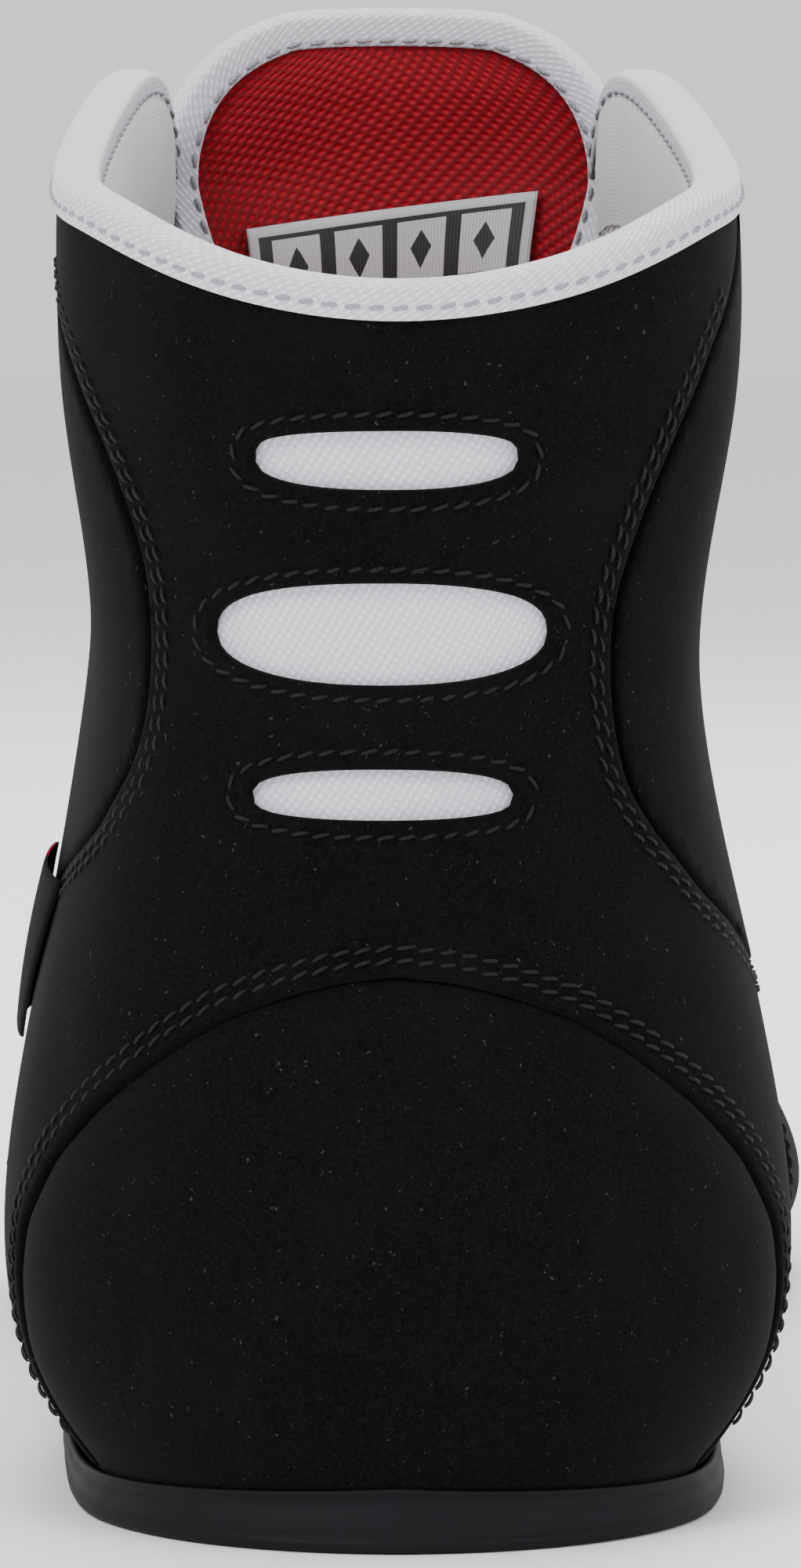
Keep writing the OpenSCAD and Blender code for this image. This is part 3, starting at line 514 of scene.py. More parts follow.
def label_cloth():
    """A woven label: a pale frame round a dark ground with a row of blocks, each with a lozenge slot."""
    silver, ground, pale = (0.52, 0.53, 0.55), (0.012, 0.012, 0.013), (0.62, 0.63, 0.62)
    m, tree, shader = material("label_cloth", silver, 0.55)
    u, v = node(tree, "SeparateXYZ", {0: node(tree, "TexCoord").outputs["UV"]}).outputs[:2]
    cell = math_node(tree, "SUBTRACT", math_node(tree, "FRACT", math_node(tree, "MULTIPLY", u, 0.13)), 0.5)
    rise = math_node(tree, "ABSOLUTE", math_node(tree, "SUBTRACT", v, 0.5))
    across = math_node(tree, "ABSOLUTE", cell)
    block = math_node(tree, "MULTIPLY", math_node(tree, "LESS_THAN", across, 0.38),
                      math_node(tree, "LESS_THAN", rise, 2.9))
    lozenge = math_node(tree, "ADD", across, math_node(tree, "MULTIPLY", rise, 0.09))
    slot = math_node(tree, "LESS_THAN", lozenge, 0.17)
    block = math_node(tree, "MULTIPLY", block, math_node(tree, "SUBTRACT", 1.0, slot))
    inner = math_node(tree, "MULTIPLY", math_node(tree, "LESS_THAN", math_node(tree, "ABSOLUTE", u), 16.0),
                      math_node(tree, "LESS_THAN", math_node(tree, "ABSOLUTE", v), 3.9))
    grain = ramp(tree, threads(tree, 0, 2.6), -1.0, 1.0)
    tone = mixed(tree, inner, silver, mixed(tree, block, ground, pale))
    tone = mixed(tree, math_node(tree, "MULTIPLY", grain, 0.25), tone, (0.1, 0.1, 0.1))
    tree.links.new(tone, shader.inputs["Base Color"])
    bump(tree, shader, grain, 0.05, 0.7)
    return m


def tag_cloth():
    """Black woven tape with small plain red bars."""
    m, tree, shader = material("tag_cloth", (0.004, 0.004, 0.004), 0.9)
    shader.inputs["Specular IOR Level"].default_value = 0.1
    u, v = node(tree, "SeparateXYZ", {0: node(tree, "TexCoord").outputs["UV"]}).outputs[:2]
    cell = math_node(tree, "FRACT", math_node(tree, "MULTIPLY", v, 0.32))
    off_middle = math_node(tree, "ABSOLUTE", math_node(tree, "SUBTRACT", u, 4.5))
    bar = math_node(tree, "MULTIPLY", math_node(tree, "LESS_THAN", cell, 0.45),
                    math_node(tree, "LESS_THAN", off_middle, 3.6))
    grain = ramp(tree, threads(tree, 90, 2.2), -1.0, 1.0)
    tone = mixed(tree, bar, (0.003, 0.003, 0.0035), (0.2, 0.002, 0.01))
    tree.links.new(mixed(tree, math_node(tree, "MULTIPLY", grain, 0.3), tone, (0.008, 0.008, 0.009)),
                   shader.inputs["Base Color"])
    bump(tree, shader, grain, 0.06, 0.8)
    return m


SUEDE = suede("black_suede", 0.001, 0.0058)
CAP_SUEDE = suede("heel_suede", 0.001, 0.0062)
TAPE = woven("white_tape", (0.82, 0.82, 0.9), 58, 1.7, 0.1, 0.62, cross=0.9)
TRICOT = woven("white_mesh", (0.84, 0.84, 0.93), 32, 1.35, 0.08, 0.66, cross=1.35)
LINING = knit("white_lining", (0.66, 0.7, 0.69), (0.48, 0.51, 0.5), 0.55, 0.25, 0.04)
RED_LINING = knit("red_lining", (0.3, 0.002, 0.008), (0.12, 0.001, 0.003), 0.7, 0.3, 0.06, 0.02)
RED_MESH = woven("red_mesh", (0.42, 0.0003, 0.012), 32, 1.1, 0.24, 0.36, 0.7, cross=1.1, sheen=0.02)
RUBBER = rubber("rubber_sole", (0.0035, 0.0042, 0.0055))
FOOTBED = knit("footbed", (0.26, 0.002, 0.008), (0.12, 0.001, 0.004), 0.9, 0.3, 0.05, 0.02)
TONGUE_CLOTH = woven("tongue_cloth", (0.006, 0.006, 0.007), 90, 1.6, 0.05, 0.6, 0.85, cross=1.6)
ELASTIC = woven("elastic", (0.006, 0.006, 0.007), 0, 1.1, 0.15, 0.5)
LACE_CLOTH = cord_cloth("lace_cord", (0.72, 0.72, 0.69))
THREAD = woven("black_thread", (0.0035, 0.0035, 0.004), 45, 2.6, 0.06, 0.5, 0.7, sheen=0.02)
# Grey rather than white: part of this thread colour is painted shade. It stands in for the shade between the
# stitches on a paler thread.
PALE_THREAD = woven("pale_thread", (0.36, 0.37, 0.41), 45, 2.6, 0.06, 0.6, 0.6)
LABEL = label_cloth()
TAG = tag_cloth()
BORE = material("bore_shade", (0.004, 0.004, 0.004), 0.9)[0]
METAL, metal_tree, metal_shader = material("eyelet_metal", (0.05, 0.05, 0.055), 0.35, metal=0.9)
bump(metal_tree, metal_shader, noise(metal_tree, 1.5, 3), 0.03, 0.3)

BALL = ("boot", "forefoot", (0, 18.5 * MM, 11 * MM), (0, 73.5 * MM, 11 * MM))
FLAP = ("boot", "tongue_top", (0, -39.3 * MM, 123 * MM), (0, -39.3 * MM, 134 * MM))
FINE = 1


# ---- Stitches ----
class Thread:
    """Gathers stitches into one mesh: each is a short capsule laid along a line."""

    def __init__(self, radius=0.2, length=1.55, pitch=2.1, twist=7.0):
        self.radius, self.length, self.pitch, self.twist = radius, length, pitch, twist
        self.points, self.faces, self.uv = [], [], []

    def row(self, path, normals, closed=False):
        full = np.hstack([path, normals])
        spots = resample(full, self.pitch / 2, closed)
        for k in range(1, len(spots) - (0 if closed else 1), 2):
            p, n = spots[k, :3], unit(spots[k, 3:])
            ahead = spots[(k + 1) % len(spots), :3] - spots[k - 1, :3]
            t = unit(ahead - (ahead @ n) * n)
            s = np.cross(n, t)
            turn = math.radians(self.twist + rng.uniform(-3, 3))
            t = t * math.cos(turn) + s * math.sin(turn)
            self.capsule(p + 0.06 * n, t, n)

    def capsule(self, p, t, n):
        s = np.cross(n, t)
        start = len(self.points)
        half, r = self.length / 2, self.radius
        rings = ((-1.0, 0.35, -0.9), (-0.85, 0.8, -0.35), (-0.4, 1.0, 0.25), (0.0, 1.05, 0.4),
                 (0.4, 1.0, 0.25), (0.85, 0.8, -0.35), (1.0, 0.35, -0.9))
        for along, wide, lift in rings:
            for a in np.arange(6) * math.pi / 3:
                off = wide * (math.cos(a) * s + 0.85 * math.sin(a) * n) + lift * n
                self.points.append(p + along * half * t + r * off)
                self.uv.append((along * half, a * r))
        self.faces += grid_faces(len(rings), 6, start, wrap=True)

    def make(self, name, cloth, body="boot", bend=None):
        return make(name, self.points, self.faces, cloth, body=body, uv=self.uv, bend=bend)


def line_on(keys, out, shift=0.0):
    """Points and normals along a line of (rib, row) keys on a layer, moved sideways by shift."""
    keys = np.asarray(keys, float)
    t, h = keys[:, 0], keys[:, 1]
    p, n = layer(t, h, out), normal(t, h)
    if shift:
        p = p + shift * unit(np.cross(n, np.gradient(p, axis=0)))
    return p, n


black = Thread(0.2, 1.75, 2.1, 14)

# ---- Lines of the upper ----
# Each is a list of (rib, row): the seams of the quarters from the vamp up, and the edge over the heel cap
LATERAL_SEAM = ((9.25, 2.1), (8, 2.12), (6, 2.35), (4.6, 2.6), (3.6, 2.9), (2.78, 3.22), (2.2, 3.45),
                (1.87, 3.7), (1.76, 3.9), (1.7, 4.2), (1.7, 4.5), (1.8, 4.7), (2, 4.95), (2.35, 5.25),
                (3, 5.6), (3.7, 6))
MEDIAL_SEAM = ((9.25, 2.1), (7.4, 2.12), (5.5, 2.3), (4.2, 2.5), (3, 2.79), (2.05, 3.22), (1.64, 3.53),
               (1.46, 3.73), (1.38, 4.1), (1.37, 4.35), (1.4, 4.5), (1.57, 4.8), (1.72, 5), (2.05, 5.35),
               (2.4, 5.6), (3, 6))
DOME = ((2.3, 0), (2.4, 0.5), (2.48, 1), (2.42, 1.5), (2.32, 1.8), (2, 2.15), (1.64, 2.42), (1.2, 2.7),
        (0.88, 2.88), (0.55, 3), (0.28, 3.07), (0, 3.1))
TAPE_ROW = 5.93


def side_line(keys, side, n=140, rounds=6):
    line = smooth_line(np.asarray(keys, float) * DOMAIN, n, rounds) / DOMAIN
    return line * [side, 1]


seams = {-1: side_line(LATERAL_SEAM, -1, 260, 10), 1: side_line(MEDIAL_SEAM, 1, 260, 10)}
seams = {side: line[line[:, 1] < TAPE_ROW] for side, line in seams.items()}
dome_half = side_line(DOME, 1, 160, 8)
dome_half[-1, 0] = 0
dome_line = np.vstack([dome_half * [-1, 1], dome_half[-2::-1]])

# Windows: middle height, half width, half height, shift to the lateral side, how far out the stitches lie,
# and how full the upper and lower edges are (1 is an ellipse, less is fuller)
WINDOWS = ((105.3, 13.2, 2.9, 1.1, 1.7, 0.5, 0.85), (88.5, 16.8, 4.95, 1.6, 1.4, 0.75, 0.9),
           (73.0, 13.2, 2.45, 1.5, 1.7, 0.8, 0.6))


def full(v, e):
    return np.sign(v) * abs(v) ** e


def window_line(z, half, half_h, shift, grow, upper, lower):
    """A lens with round ends, as (rib, row) points on the back."""
    a = np.linspace(0, 2 * math.pi, 150, endpoint=False)
    x = (half + grow) * full(np.cos(a), 0.85)
    height = (half_h + grow) * np.where(np.sin(a) > 0, full(np.sin(a), upper), full(np.sin(a), lower))
    return np.stack(from_behind(CENTRE_X[0][1] - shift + x, z + height), 1)


def waves(depth, per_mm, seed):
    """A soft unevenness of hide: a few long waves."""
    r = np.random.default_rng(seed)
    dirs, phase = r.normal(size=(6, 3)) * per_mm * 2 * math.pi, r.uniform(0, 6.28, 6)
    return lambda p: depth * np.sin(p @ dirs.T + phase).sum(1) / 6


# ---- Back panel, with its windows and the opening over the heel cap ----
PANEL_RIB, DOME_RIB = LATERAL_SEAM[0][0], DOME[0][0]
foot = np.stack([np.linspace(DOME_RIB, PANEL_RIB, 60), np.full(60, 0.02)], 1)
outline = np.vstack([(foot * [-1, 1])[::-1], dome_line[1:-1], foot, seams[1], seams[-1][::-1]])
panel("back_panel_suede", [outline] + [window_line(*w[:4], 0, *w[5:]) for w in WINDOWS], SUEDE, 0.9,
      ("back_panel",), BALL, waves(0.35, 0.02, 3))
for w in WINDOWS:
    black.row(*line_on(window_line(*w), 0), closed=True)
for shift in (1.5, 2.75):
    black.row(*line_on(dome_line[dome_line[:, 1] > 0.35], 0, shift))
for side in (-1, 1):
    for shift in (1.5, 2.7):
        black.row(*line_on(seams[side][seams[side][:, 1] < 5.55], 0, side * shift))


# ---- Grids: shells that follow the last between two edges, with rounded lips ----
def lipped(grid_at, rows, cols, out, thick, lip, sides):
    """Points of a shell: grid_at(r, c, out) gives points for fractions r, c. The lips turn in at the named
    sides (u: r=0, d: r=1, l: c=0, r: c=1)."""
    down = [(r, 0.0) for r in np.linspace(0, 1, rows)]
    if "u" in sides:
        down[0] = (0.0, lip * 0.25)
        down = [(0.0, thick), (0.0, lip)] + down
    if "d" in sides:
        down[-1] = (1.0, lip * 0.25)
        down += [(1.0, lip), (1.0, thick)]
    across = [(c, 0.0) for c in np.linspace(0, 1, cols)]
    if "l" in sides:
        across = [(0.0, thick), (0.0, lip)] + across
    if "r" in sides:
        across += [(1.0, lip), (1.0, thick)]
    down, across = np.array(down), np.array(across)
    r, c = np.meshgrid(down[:, 0], across[:, 0], indexing="ij")
    return grid_at(r, c, out - np.maximum(down[:, 1][:, None], across[:, 1]))


def shell_piece(name, grid_at, rows, cols, out, thick, cloth, node=(), body="boot", bend=None, sides="udlr",
                lip=0.3, solid=False):
    rows, cols = max(4, rows // FINE), max(4, cols // FINE)
    points = lipped(grid_at, rows, cols, out, thick, lip, sides)
    n, m = points.shape[:2]
    faces = grid_faces(n, m)
    stack, uv = [points.reshape(-1, 3)], [arc_uv(points).reshape(-1, 2)]
    if solid:
        r, c = np.meshgrid(np.linspace(0, 1, rows), np.linspace(0, 1, cols), indexing="ij")
        back = grid_at(r, c, np.full(r.shape, out - thick))
        faces += [f[::-1] for f in grid_faces(rows, cols, n * m)]
        stack.append(back.reshape(-1, 3))
        uv.append(arc_uv(back).reshape(-1, 2))
    return make(name, np.vstack(stack), faces, cloth, node, body, np.vstack(uv), bend)


def crease_back(h):
    return mix(9.3, 10, h / TOP_ROW)


# ---- Quarters: from the seam to the vamp ----
for side, name in ((-1, "lateral"), (1, "medial")):
    near = seams[side] * [side, 1] + [0.05, 0]
    low_edge = np.stack([np.linspace(9.5, near[0, 0], 10)[1:-1], np.full(8, near[0, 1])], 1)
    top_edge = np.stack([np.linspace(near[-1, 0], 9.9, 200)[1:], np.full(199, TAPE_ROW)], 1)
    rows_down = np.linspace(TAPE_ROW, 2.1, 90)
    vamp_edge = np.stack([crease_back(rows_down) + 0.25, rows_down], 1)
    loop = np.vstack([near, top_edge, vamp_edge[1:], low_edge])
    panel("quarter_%s_suede" % name, [loop * [side, 1]], SUEDE, 1.4, ("quarter_" + name,), BALL,
          waves(0.4, 0.014, 11 + side))


for side, name in ((-1, "lateral"), (1, "medial")):
    def under_seam(r, c, out, seam=seams[side]):
        step = np.gradient(seam, axis=0)
        across = unit(np.stack([step[:, 1], -step[:, 0]], 1))
        at = c * (len(seam) - 1)
        t, h, dt, dh = (np.interp(at, np.arange(len(seam)), v) for v in (*seam.T, *across.T))
        reach = mix(-0.22, 0.22, r)
        return layer(t + dt * reach, np.clip(h + dh * reach, 0.05, TAPE_ROW), out)
    shell_piece("seam_backing_" + name, under_seam, 6, 200, -1.5, 0.3, SUEDE, sides="", bend=BALL)


# ---- Vamp and toe cap: over the top from side to side ----
def saddle(back, front):
    """grid_at for a piece over the forefoot: r runs from its back edge to its front, c from side to side."""
    def grid_at(r, c, out):
        h = TOP_ROW * (1 - abs(2 * c - 1) ** 1.15)
        side = np.where(c < 0.5, -1.0, 1.0)
        return layer(side * np.minimum(LAST_RIB, mix(back(h), front(h), r)), h, out)
    return grid_at


def toe_tip(h):
    return np.full(np.shape(h), float(LAST_RIB))


def cap_back(h):
    return mix(11.6, 13, h / TOP_ROW)


shell_piece("vamp_suede", saddle(crease_back, toe_tip), 130, 150, 0.05, 1.35, SUEDE, ("vamp_crease", "vamp"),
            bend=BALL, sides="u")
for side, name in ((-1, "lateral"), (1, "medial")):
    def underlap(r, c, out, side=side):
        return layer(side * mix(8.6, 9.9, r), mix(0.02, 5.9, c), out)
    shell_piece("underlap_" + name, underlap, 10, 80, -1.5, 0.4, SUEDE, sides="", bend=BALL)
shell_piece("toe_cap_suede", saddle(cap_back, toe_tip), 70, 130, 1.5, 1.4, SUEDE, ("toe_cap",), "forefoot",
            sides="u", lip=0.45)
rows_over = np.linspace(-1, 1, 200)
toe_thread = Thread()
for shift in (1.6, 2.9):
    h = TOP_ROW * (1 - abs(rows_over) ** 1.15)
    keys = np.stack([np.sign(rows_over + 1e-9) * cap_back(h), h], 1)
    toe_thread.row(*line_on(keys, 1.5, -shift))
toe_thread.make("toe_cap_stitches", THREAD, "forefoot")
vamp_thread = Thread()
for shift in (1.6, 2.9):
    for side in (-1, 1):
        h = np.linspace(0.4, 5.9, 120)
        keys = np.stack([side * (crease_back(h) + 0.25), h], 1)
        vamp_thread.row(*line_on(keys, 0.05, side * shift))
vamp_thread.make("vamp_stitches", THREAD, bend=BALL)


# ---- Heel cap: a padded piece that swells out of the panel's opening ----
def cap_grid(r, c, out):
    """r runs from the middle of the cap to under the panel, c round its outline."""
    outline = np.vstack([dome_half, (dome_half * [-1, 1])[-2::-1]])
    foot_row = np.stack([np.linspace(-DOME_RIB, DOME_RIB, 80), np.zeros(80)], 1)
    outline = resample(np.vstack([outline, foot_row[1:-1]]), 0.02, True)
    at = c * len(outline)
    ring = np.stack([np.interp(at, np.arange(len(outline) + 1), np.append(outline[:, k], outline[0, k]))
                     for k in (0, 1)], -1)
    spread = r[..., None] * 1.05
    place = np.array([0, 1.45]) * (1 - spread) + ring * spread
    edge = np.clip(r * 1.05, 0, 1) ** 9
    low = np.clip(1 - place[..., 1] / 0.5, 0, 1) ** 2
    swell = np.where(r * 1.05 < 1, -1.45 + 2.2 * np.sqrt(np.clip(1 - edge, 0, 1)), -1.45)
    swell = mix(swell, -0.1, low)
    return layer(place[..., 0], np.clip(place[..., 1], 0.01, 6), swell + out)


shell_piece("heel_cap_suede", cap_grid, 120, 260, 0.0, 1.0, CAP_SUEDE, ("heel_cap",), sides="")

# ---- Mesh behind the windows ----
def window_back(r, c, out):
    return layer(mix(-1.38, 1.38, c), mix(3.28, 5.45, r), out)


shell_piece("window_mesh_knit", window_back, 60, 80, -1.5, 0.4, TRICOT, ("window_mesh",), sides="")


# ---- Eyestays, with a double row of stitches, and the shade inside the eyelets ----
EYELETS = 7
stay_thread = Thread(0.18, 1.4, 2.0)
for side, name in ((-1, "lateral"), (1, "medial")):
    def stay(r, c, out, side=side):
        t = mix(9.75, 5.25, c) if side > 0 else mix(5.25, 9.75, c)
        d = mix(0.3, 12, r)
        points = np.empty(r.shape + (3,))
        for row in range(r.shape[0]):
            a, b = throat_place(side * t[row], float(d[row, 0]))
            points[row] = layer(a, b, out[row])
        return points
    shell_piece("eyestay_%s_suede" % name, stay, 14, 150, 1.45, 1.3, SUEDE, ("eyestay_" + name,), bend=BALL)
    for inset in (1.6, 10.6, 9.4):
        ribs = side * np.linspace(5.45, 9.6, 160)
        stay_thread.row(throat_point(ribs, inset, 1.45), normal(*throat_place(ribs, inset)))
    points, faces = [], []
    for k in range(EYELETS):
        t, h = throat_place(np.array([side * mix(9.3, 6, k / (EYELETS - 1))]), 5.5)
        n, p = normal(t, h)[0], layer(t, h, 1.75)[0]
        x = unit(np.cross([0, 1, 0], n))
        y = np.cross(n, x)
        ring = [p + 2.4 * (math.cos(a) * x + math.sin(a) * y) for a in np.arange(20) * math.pi / 10]
        faces.append(range(len(points), len(points) + 20))
        points += ring
    make("eyelet_shade_" + name, points, faces, BORE)
    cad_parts["eyelets_" + name].data.materials.clear()
    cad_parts["eyelets_" + name].data.materials.append(METAL)
stay_thread.make("eyestay_stitches", THREAD, bend=BALL)

# ---- Collar: tape over the edge, padded lining under it ----
COLLAR_RIB, TAPE_W, INNER = 5.1, 2.8, -4.9


def swept(name, ribs, profile, at, cloth, node=(), body="boot", caps=True, bend=None):
    """A closed profile of (inset, out) points carried along an edge."""
    grid = np.stack([at(ribs, d, o) for d, o in profile], 0)
    n, m = grid.shape[:2]
    closed = np.vstack([grid, grid[:1]])
    faces = grid_faces(n + 1, m)
    points = closed.reshape(-1, 3)
    if caps:
        faces += [[k * m for k in range(n)], [k * m + m - 1 for k in range(n)][::-1]]
    return make(name, points, faces, cloth, node, body, arc_uv(closed), bend)


def round_profile(width, face, back, top, n=7):
    """The outline of a tape folded over an edge: down the face, over the top and down the back."""
    middle, half = (face + back) / 2, (face - back) / 2
    arch = [(-top * math.sin(a), middle + half * math.cos(a)) for a in np.linspace(0, math.pi, 2 * n)]
    outer = [(width, face - 0.12), (width - 0.25, face + 0.02), (width * 0.5, face + 0.08),
             (0.6, face + 0.04)] + arch
    outer += [(0.6, back - 0.04), (width * 0.5, back - 0.08), (width - 0.25, back - 0.02),
              (width, back + 0.12)]
    inner = [(width, back + 0.55), (0.4, back + 0.55), (0.0, middle), (0.4, face - 0.6), (width, face - 0.6)]
    return outer + inner


collar_ribs = np.linspace(-COLLAR_RIB, COLLAR_RIB, 320 // FINE)
swept("collar_tape_weave", collar_ribs, round_profile(TAPE_W, 0.45, INNER + 0.6, 0.9), edge_point, TAPE,
      ("collar_tape",))
tape_thread = Thread(0.22, 1.7, 2.3)
row_ribs = np.linspace(-5.05, 5.05, 600)
tape_thread.row(edge_point(row_ribs, 1.5, 0.51), normal(row_ribs, below(row_ribs, 1.5)))
tape_thread.row(edge_point(row_ribs, 1.5, INNER + 0.52), -normal(row_ribs, below(row_ribs, 1.5)))
tape_thread.make("collar_tape_stitches", PALE_THREAD)


def pad_grid(r, c, out):
    t = mix(-4.62, 4.62, c)
    d = mix(2.0, 18.4, r)
    puff = np.sin(math.pi * r) ** 0.6 * 0.75 + 0.12 * np.sin(t * 9) * np.sin(math.pi * r)
    return layer(t, below(t, d), np.where(out > -3, -2.2, -4.35 - puff))


pad_rows, pad_cols = 26 // FINE, 240 // FINE
rr, cc = np.meshgrid(np.linspace(0, 1, pad_rows), np.linspace(0, 1, pad_cols), indexing="ij")
inside, outside = pad_grid(rr, cc, -5.0 + 0 * rr), pad_grid(rr, cc, 0 * rr)
n = pad_rows * pad_cols
wall = [[a, b, b + n, a + n] for a, b in zip(range(n - pad_cols, n - 1), range(n - pad_cols + 1, n))]
faces = [f[::-1] for f in grid_faces(pad_rows, pad_cols)] + grid_faces(pad_rows, pad_cols, n) + wall
pad = make("collar_pad", np.vstack([inside.reshape(-1, 3), outside.reshape(-1, 3)]), faces, LINING,
           ("collar_foam", "collar_lining"), uv=np.vstack([arc_uv(inside).reshape(-1, 2)] * 2))
seam_thread = Thread(0.16, 1.3, 2.0)
ribs = np.linspace(-4.6, 4.6, 400)
seam_thread.row(layer(ribs, below(ribs, 15.6), -5.12), -normal(ribs, below(ribs, 15.6)))
seam_thread.make("collar_lining_stitches", PALE_THREAD)


# ---- Red linings: behind the ball line on the boot, ahead of it over the toes ----
def rear_lining(r, c, out):
    t = mix(-9.35, 9.35, c)
    top = np.where(abs(t) < 5, below(t, 15), np.minimum(4.5, below(t, 18)))
    return layer(t, mix(0.5, top, r), out)


def lining_back(h):
    return mix(9.2, 10, h / TOP_ROW)


def front_lining(r, c, out):
    return saddle(lining_back, toe_tip)(r, mix(0.04, 0.96, c), out)


shell_piece("rear_lining_knit", rear_lining, 50, 260, -4.1, 0.7, RED_LINING, ("lining_rear",), sides="",
            solid=True, bend=BALL)
shell_piece("front_lining_knit", front_lining, 60, 90, -4.1, 0.7, RED_LINING, ("lining_crease", "lining_toe"),
            sides="", solid=True, bend=BALL)

# ---- Side tag: a folded loop of woven tape ----
def tag_grid(r, c, out):
    """r runs down the tag, c across it; it stands off the seam like a shallow loop."""
    h = mix(2.42, 3.16, r)
    t0, t1 = mix(-3.95, -3.4, r), mix(-3.3, -2.75, r)
    arch = np.sin(math.pi * np.clip(c, 0, 1)) ** 0.7
    return layer(mix(t0, t1, c), h, out + 0.4 + 1.1 * arch)


shell_piece("side_tag_loop", tag_grid, 24, 30, 0.3, 0.35, TAG, ("side_tag",), solid=True)

# ---- Tongue: the bowed surface of the CAD, with soft folds ----
# By height: how far its middle lies from the heel, its half width, and how far it bows across
TONGUE_LINE = ((54.5, 168), (65, 151), (79, 133), (97, 115), (116, 105.5), (126, 103.5), (134, 103.2),
               (153, 101))
TONGUE_HALVES = ((54, 10), (65, 13.5), (80, 19.5), (98, 22), (116, 22), (122, 23), (128, 24.6), (133, 25.3),
                 (137, 25.2))
TONGUE_BOWS = ((54, 12), (98, 12), (110, 12), (128, 5.5), (134, 2.5), (152, 2.5))
TONGUE_LOW, TONGUE_TOP, CORNER_Z = 56.5, 152, 132
BACK_OUT = -5.2


def even(table, z, d=4):
    return (lookup(z - d, table) + 2 * lookup(z, table) + lookup(z + d, table)) / 4


def tongue_edge(z):
    z = np.asarray(z, float)
    top = np.clip((z - CORNER_Z) / (TONGUE_TOP + 0.6 - CORNER_Z), 0, 1)
    return even(TONGUE_HALVES, z, 2) * (1 - top ** 2.6) ** (1 / 2.6)


def tongue(z, x, out):
    z, x, out = np.broadcast_arrays(*(np.asarray(v, float) for v in (z, x, out)))
    bow = even(TONGUE_BOWS, z, 3)
    slope = (even(TONGUE_LINE, z + 1) - even(TONGUE_LINE, z - 1)) / 2
    up = unit(np.stack([0 * z, 1 + 0 * z, -slope], -1))
    n = unit(up + np.stack([2 * bow * x / 625, 0 * z, 0 * z], -1))
    middle = np.stack([x - 0.8, even(TONGUE_LINE, z) - BOOT_L / 2, z], -1)
    return middle - (bow * (x / 25) ** 2)[..., None] * up + out[..., None] * n


def tongue_grid(trim, z_low=TONGUE_LOW, z_high=TONGUE_TOP - 0.6):
    def grid_at(r, c, out):
        z = mix(z_low, z_high, 1 - (1 - r) ** 1.3)
        return tongue(z, (2 * c - 1) * np.maximum(0.1, tongue_edge(z) - trim), out)
    return grid_at


shell_piece("tongue_cloth_face", tongue_grid(0.3), 90, 50, 0.0, 0.8, TONGUE_CLOTH,
            ("tongue_lower", "tongue_upper"), bend=FLAP, solid=True)


def tongue_pad(r, c, out):
    """Foam and knit lining: puffed between the edges, with shallow folds across."""
    z = mix(TONGUE_LOW, TONGUE_TOP - 1.2, 1 - (1 - r) ** 1.3)
    k = 2 * c - 1
    x = k * np.maximum(0.1, tongue_edge(z) - 1.0)
    fold = np.sin((z - 0.35 * x) / 3.8 + 0.8 * np.sin(x / 8)) + 0.5 * np.sin((0.5 * z + x) / 5 + 1.1)
    puff = (1 - abs(k) ** 4) * (1.1 + 0.55 * np.sign(fold) * abs(fold) ** 1.3)
    puff *= np.clip((TONGUE_TOP - z) / 8, 0, 1) ** 0.5
    return tongue(z, x, np.where(out > -2, -1.0, BACK_OUT + 0.5 - 0.9 * puff))


rr, cc = np.meshgrid(np.linspace(0, 1, 150 // FINE), np.linspace(0, 1, 90 // FINE), indexing="ij")
front, back = tongue_pad(rr, cc, 0 * rr), tongue_pad(rr, cc, 0 * rr - 5)
rows, cols = rr.shape
n = rows * cols
ring = ([(0, c) for c in range(cols)] + [(r, cols - 1) for r in range(1, rows)]
        + [(rows - 1, c) for c in range(cols - 2, -1, -1)] + [(r, 0) for r in range(rows - 2, 0, -1)])
ids = [r * cols + c for r, c in ring]
wall = [[a, b, b + n, a + n] for a, b in zip(ids, ids[1:] + ids[:1])]
pad = make("tongue_pad", np.vstack([front.reshape(-1, 3), back.reshape(-1, 3)]),
           grid_faces(rows, cols) + [f[::-1] for f in grid_faces(rows, cols, n)] + wall, RED_MESH,
           ("tongue_foam_lower", "tongue_lining_lower", "tongue_foam_upper", "tongue_lining_upper"),
           uv=np.vstack([arc_uv(front).reshape(-1, 2), arc_uv(back).reshape(-1, 2)]), bend=FLAP)

# Its tape runs round the top edge; each place is (height, share of the half width)
rise = np.linspace(121, 151.2, 120)
over = np.linspace(1, -1, 60)[1:-1]
tape_places = np.vstack([np.stack([rise, np.ones(120)], 1),
                         np.stack([151.2 + 0.75 * np.sqrt(1 - over ** 2), over], 1),
                         np.stack([rise[::-1], -np.ones(120)], 1)])


tape_places = resample(np.stack([tape_places[:, 1] * tongue_edge(np.minimum(tape_places[:, 0], 151.2)),
                                 tape_places[:, 0]], 1), 0.45)
tape_places = np.stack([tape_places[:, 1], tape_places[:, 0]], 1)


def rim_at(places, inset, out):
    """places are (height, x) along the edge, in order from the medial side over the top."""
    ahead = np.gradient(places, axis=0)
    away = unit(np.stack([-ahead[:, 1], ahead[:, 0]], 1))
    for _ in range(30):
        away[1:-1] = unit(away[:-2] + away[1:-1] + away[2:])
    where = places - away * inset
    return tongue(where[:, 0], where[:, 1], np.full(len(where), float(out)))


swept("tongue_tape_weave", tape_places, round_profile(2.9, 0.55, BACK_OUT - 1.0, 0.9),
      rim_at, TAPE, ("tongue_tape",), bend=FLAP)
rim_thread = Thread(0.24, 1.8, 2.5)
for inset, out, way in ((2.35, BACK_OUT - 1.1, -1), (2.35, 0.64, 1)):
    path = rim_at(tape_places, inset, out)
    n = unit(rim_at(tape_places, inset, out + way) - path)
    rim_thread.row(path[4:-4], n[4:-4])
rim_thread.make("tongue_tape_stitches", PALE_THREAD, bend=FLAP)


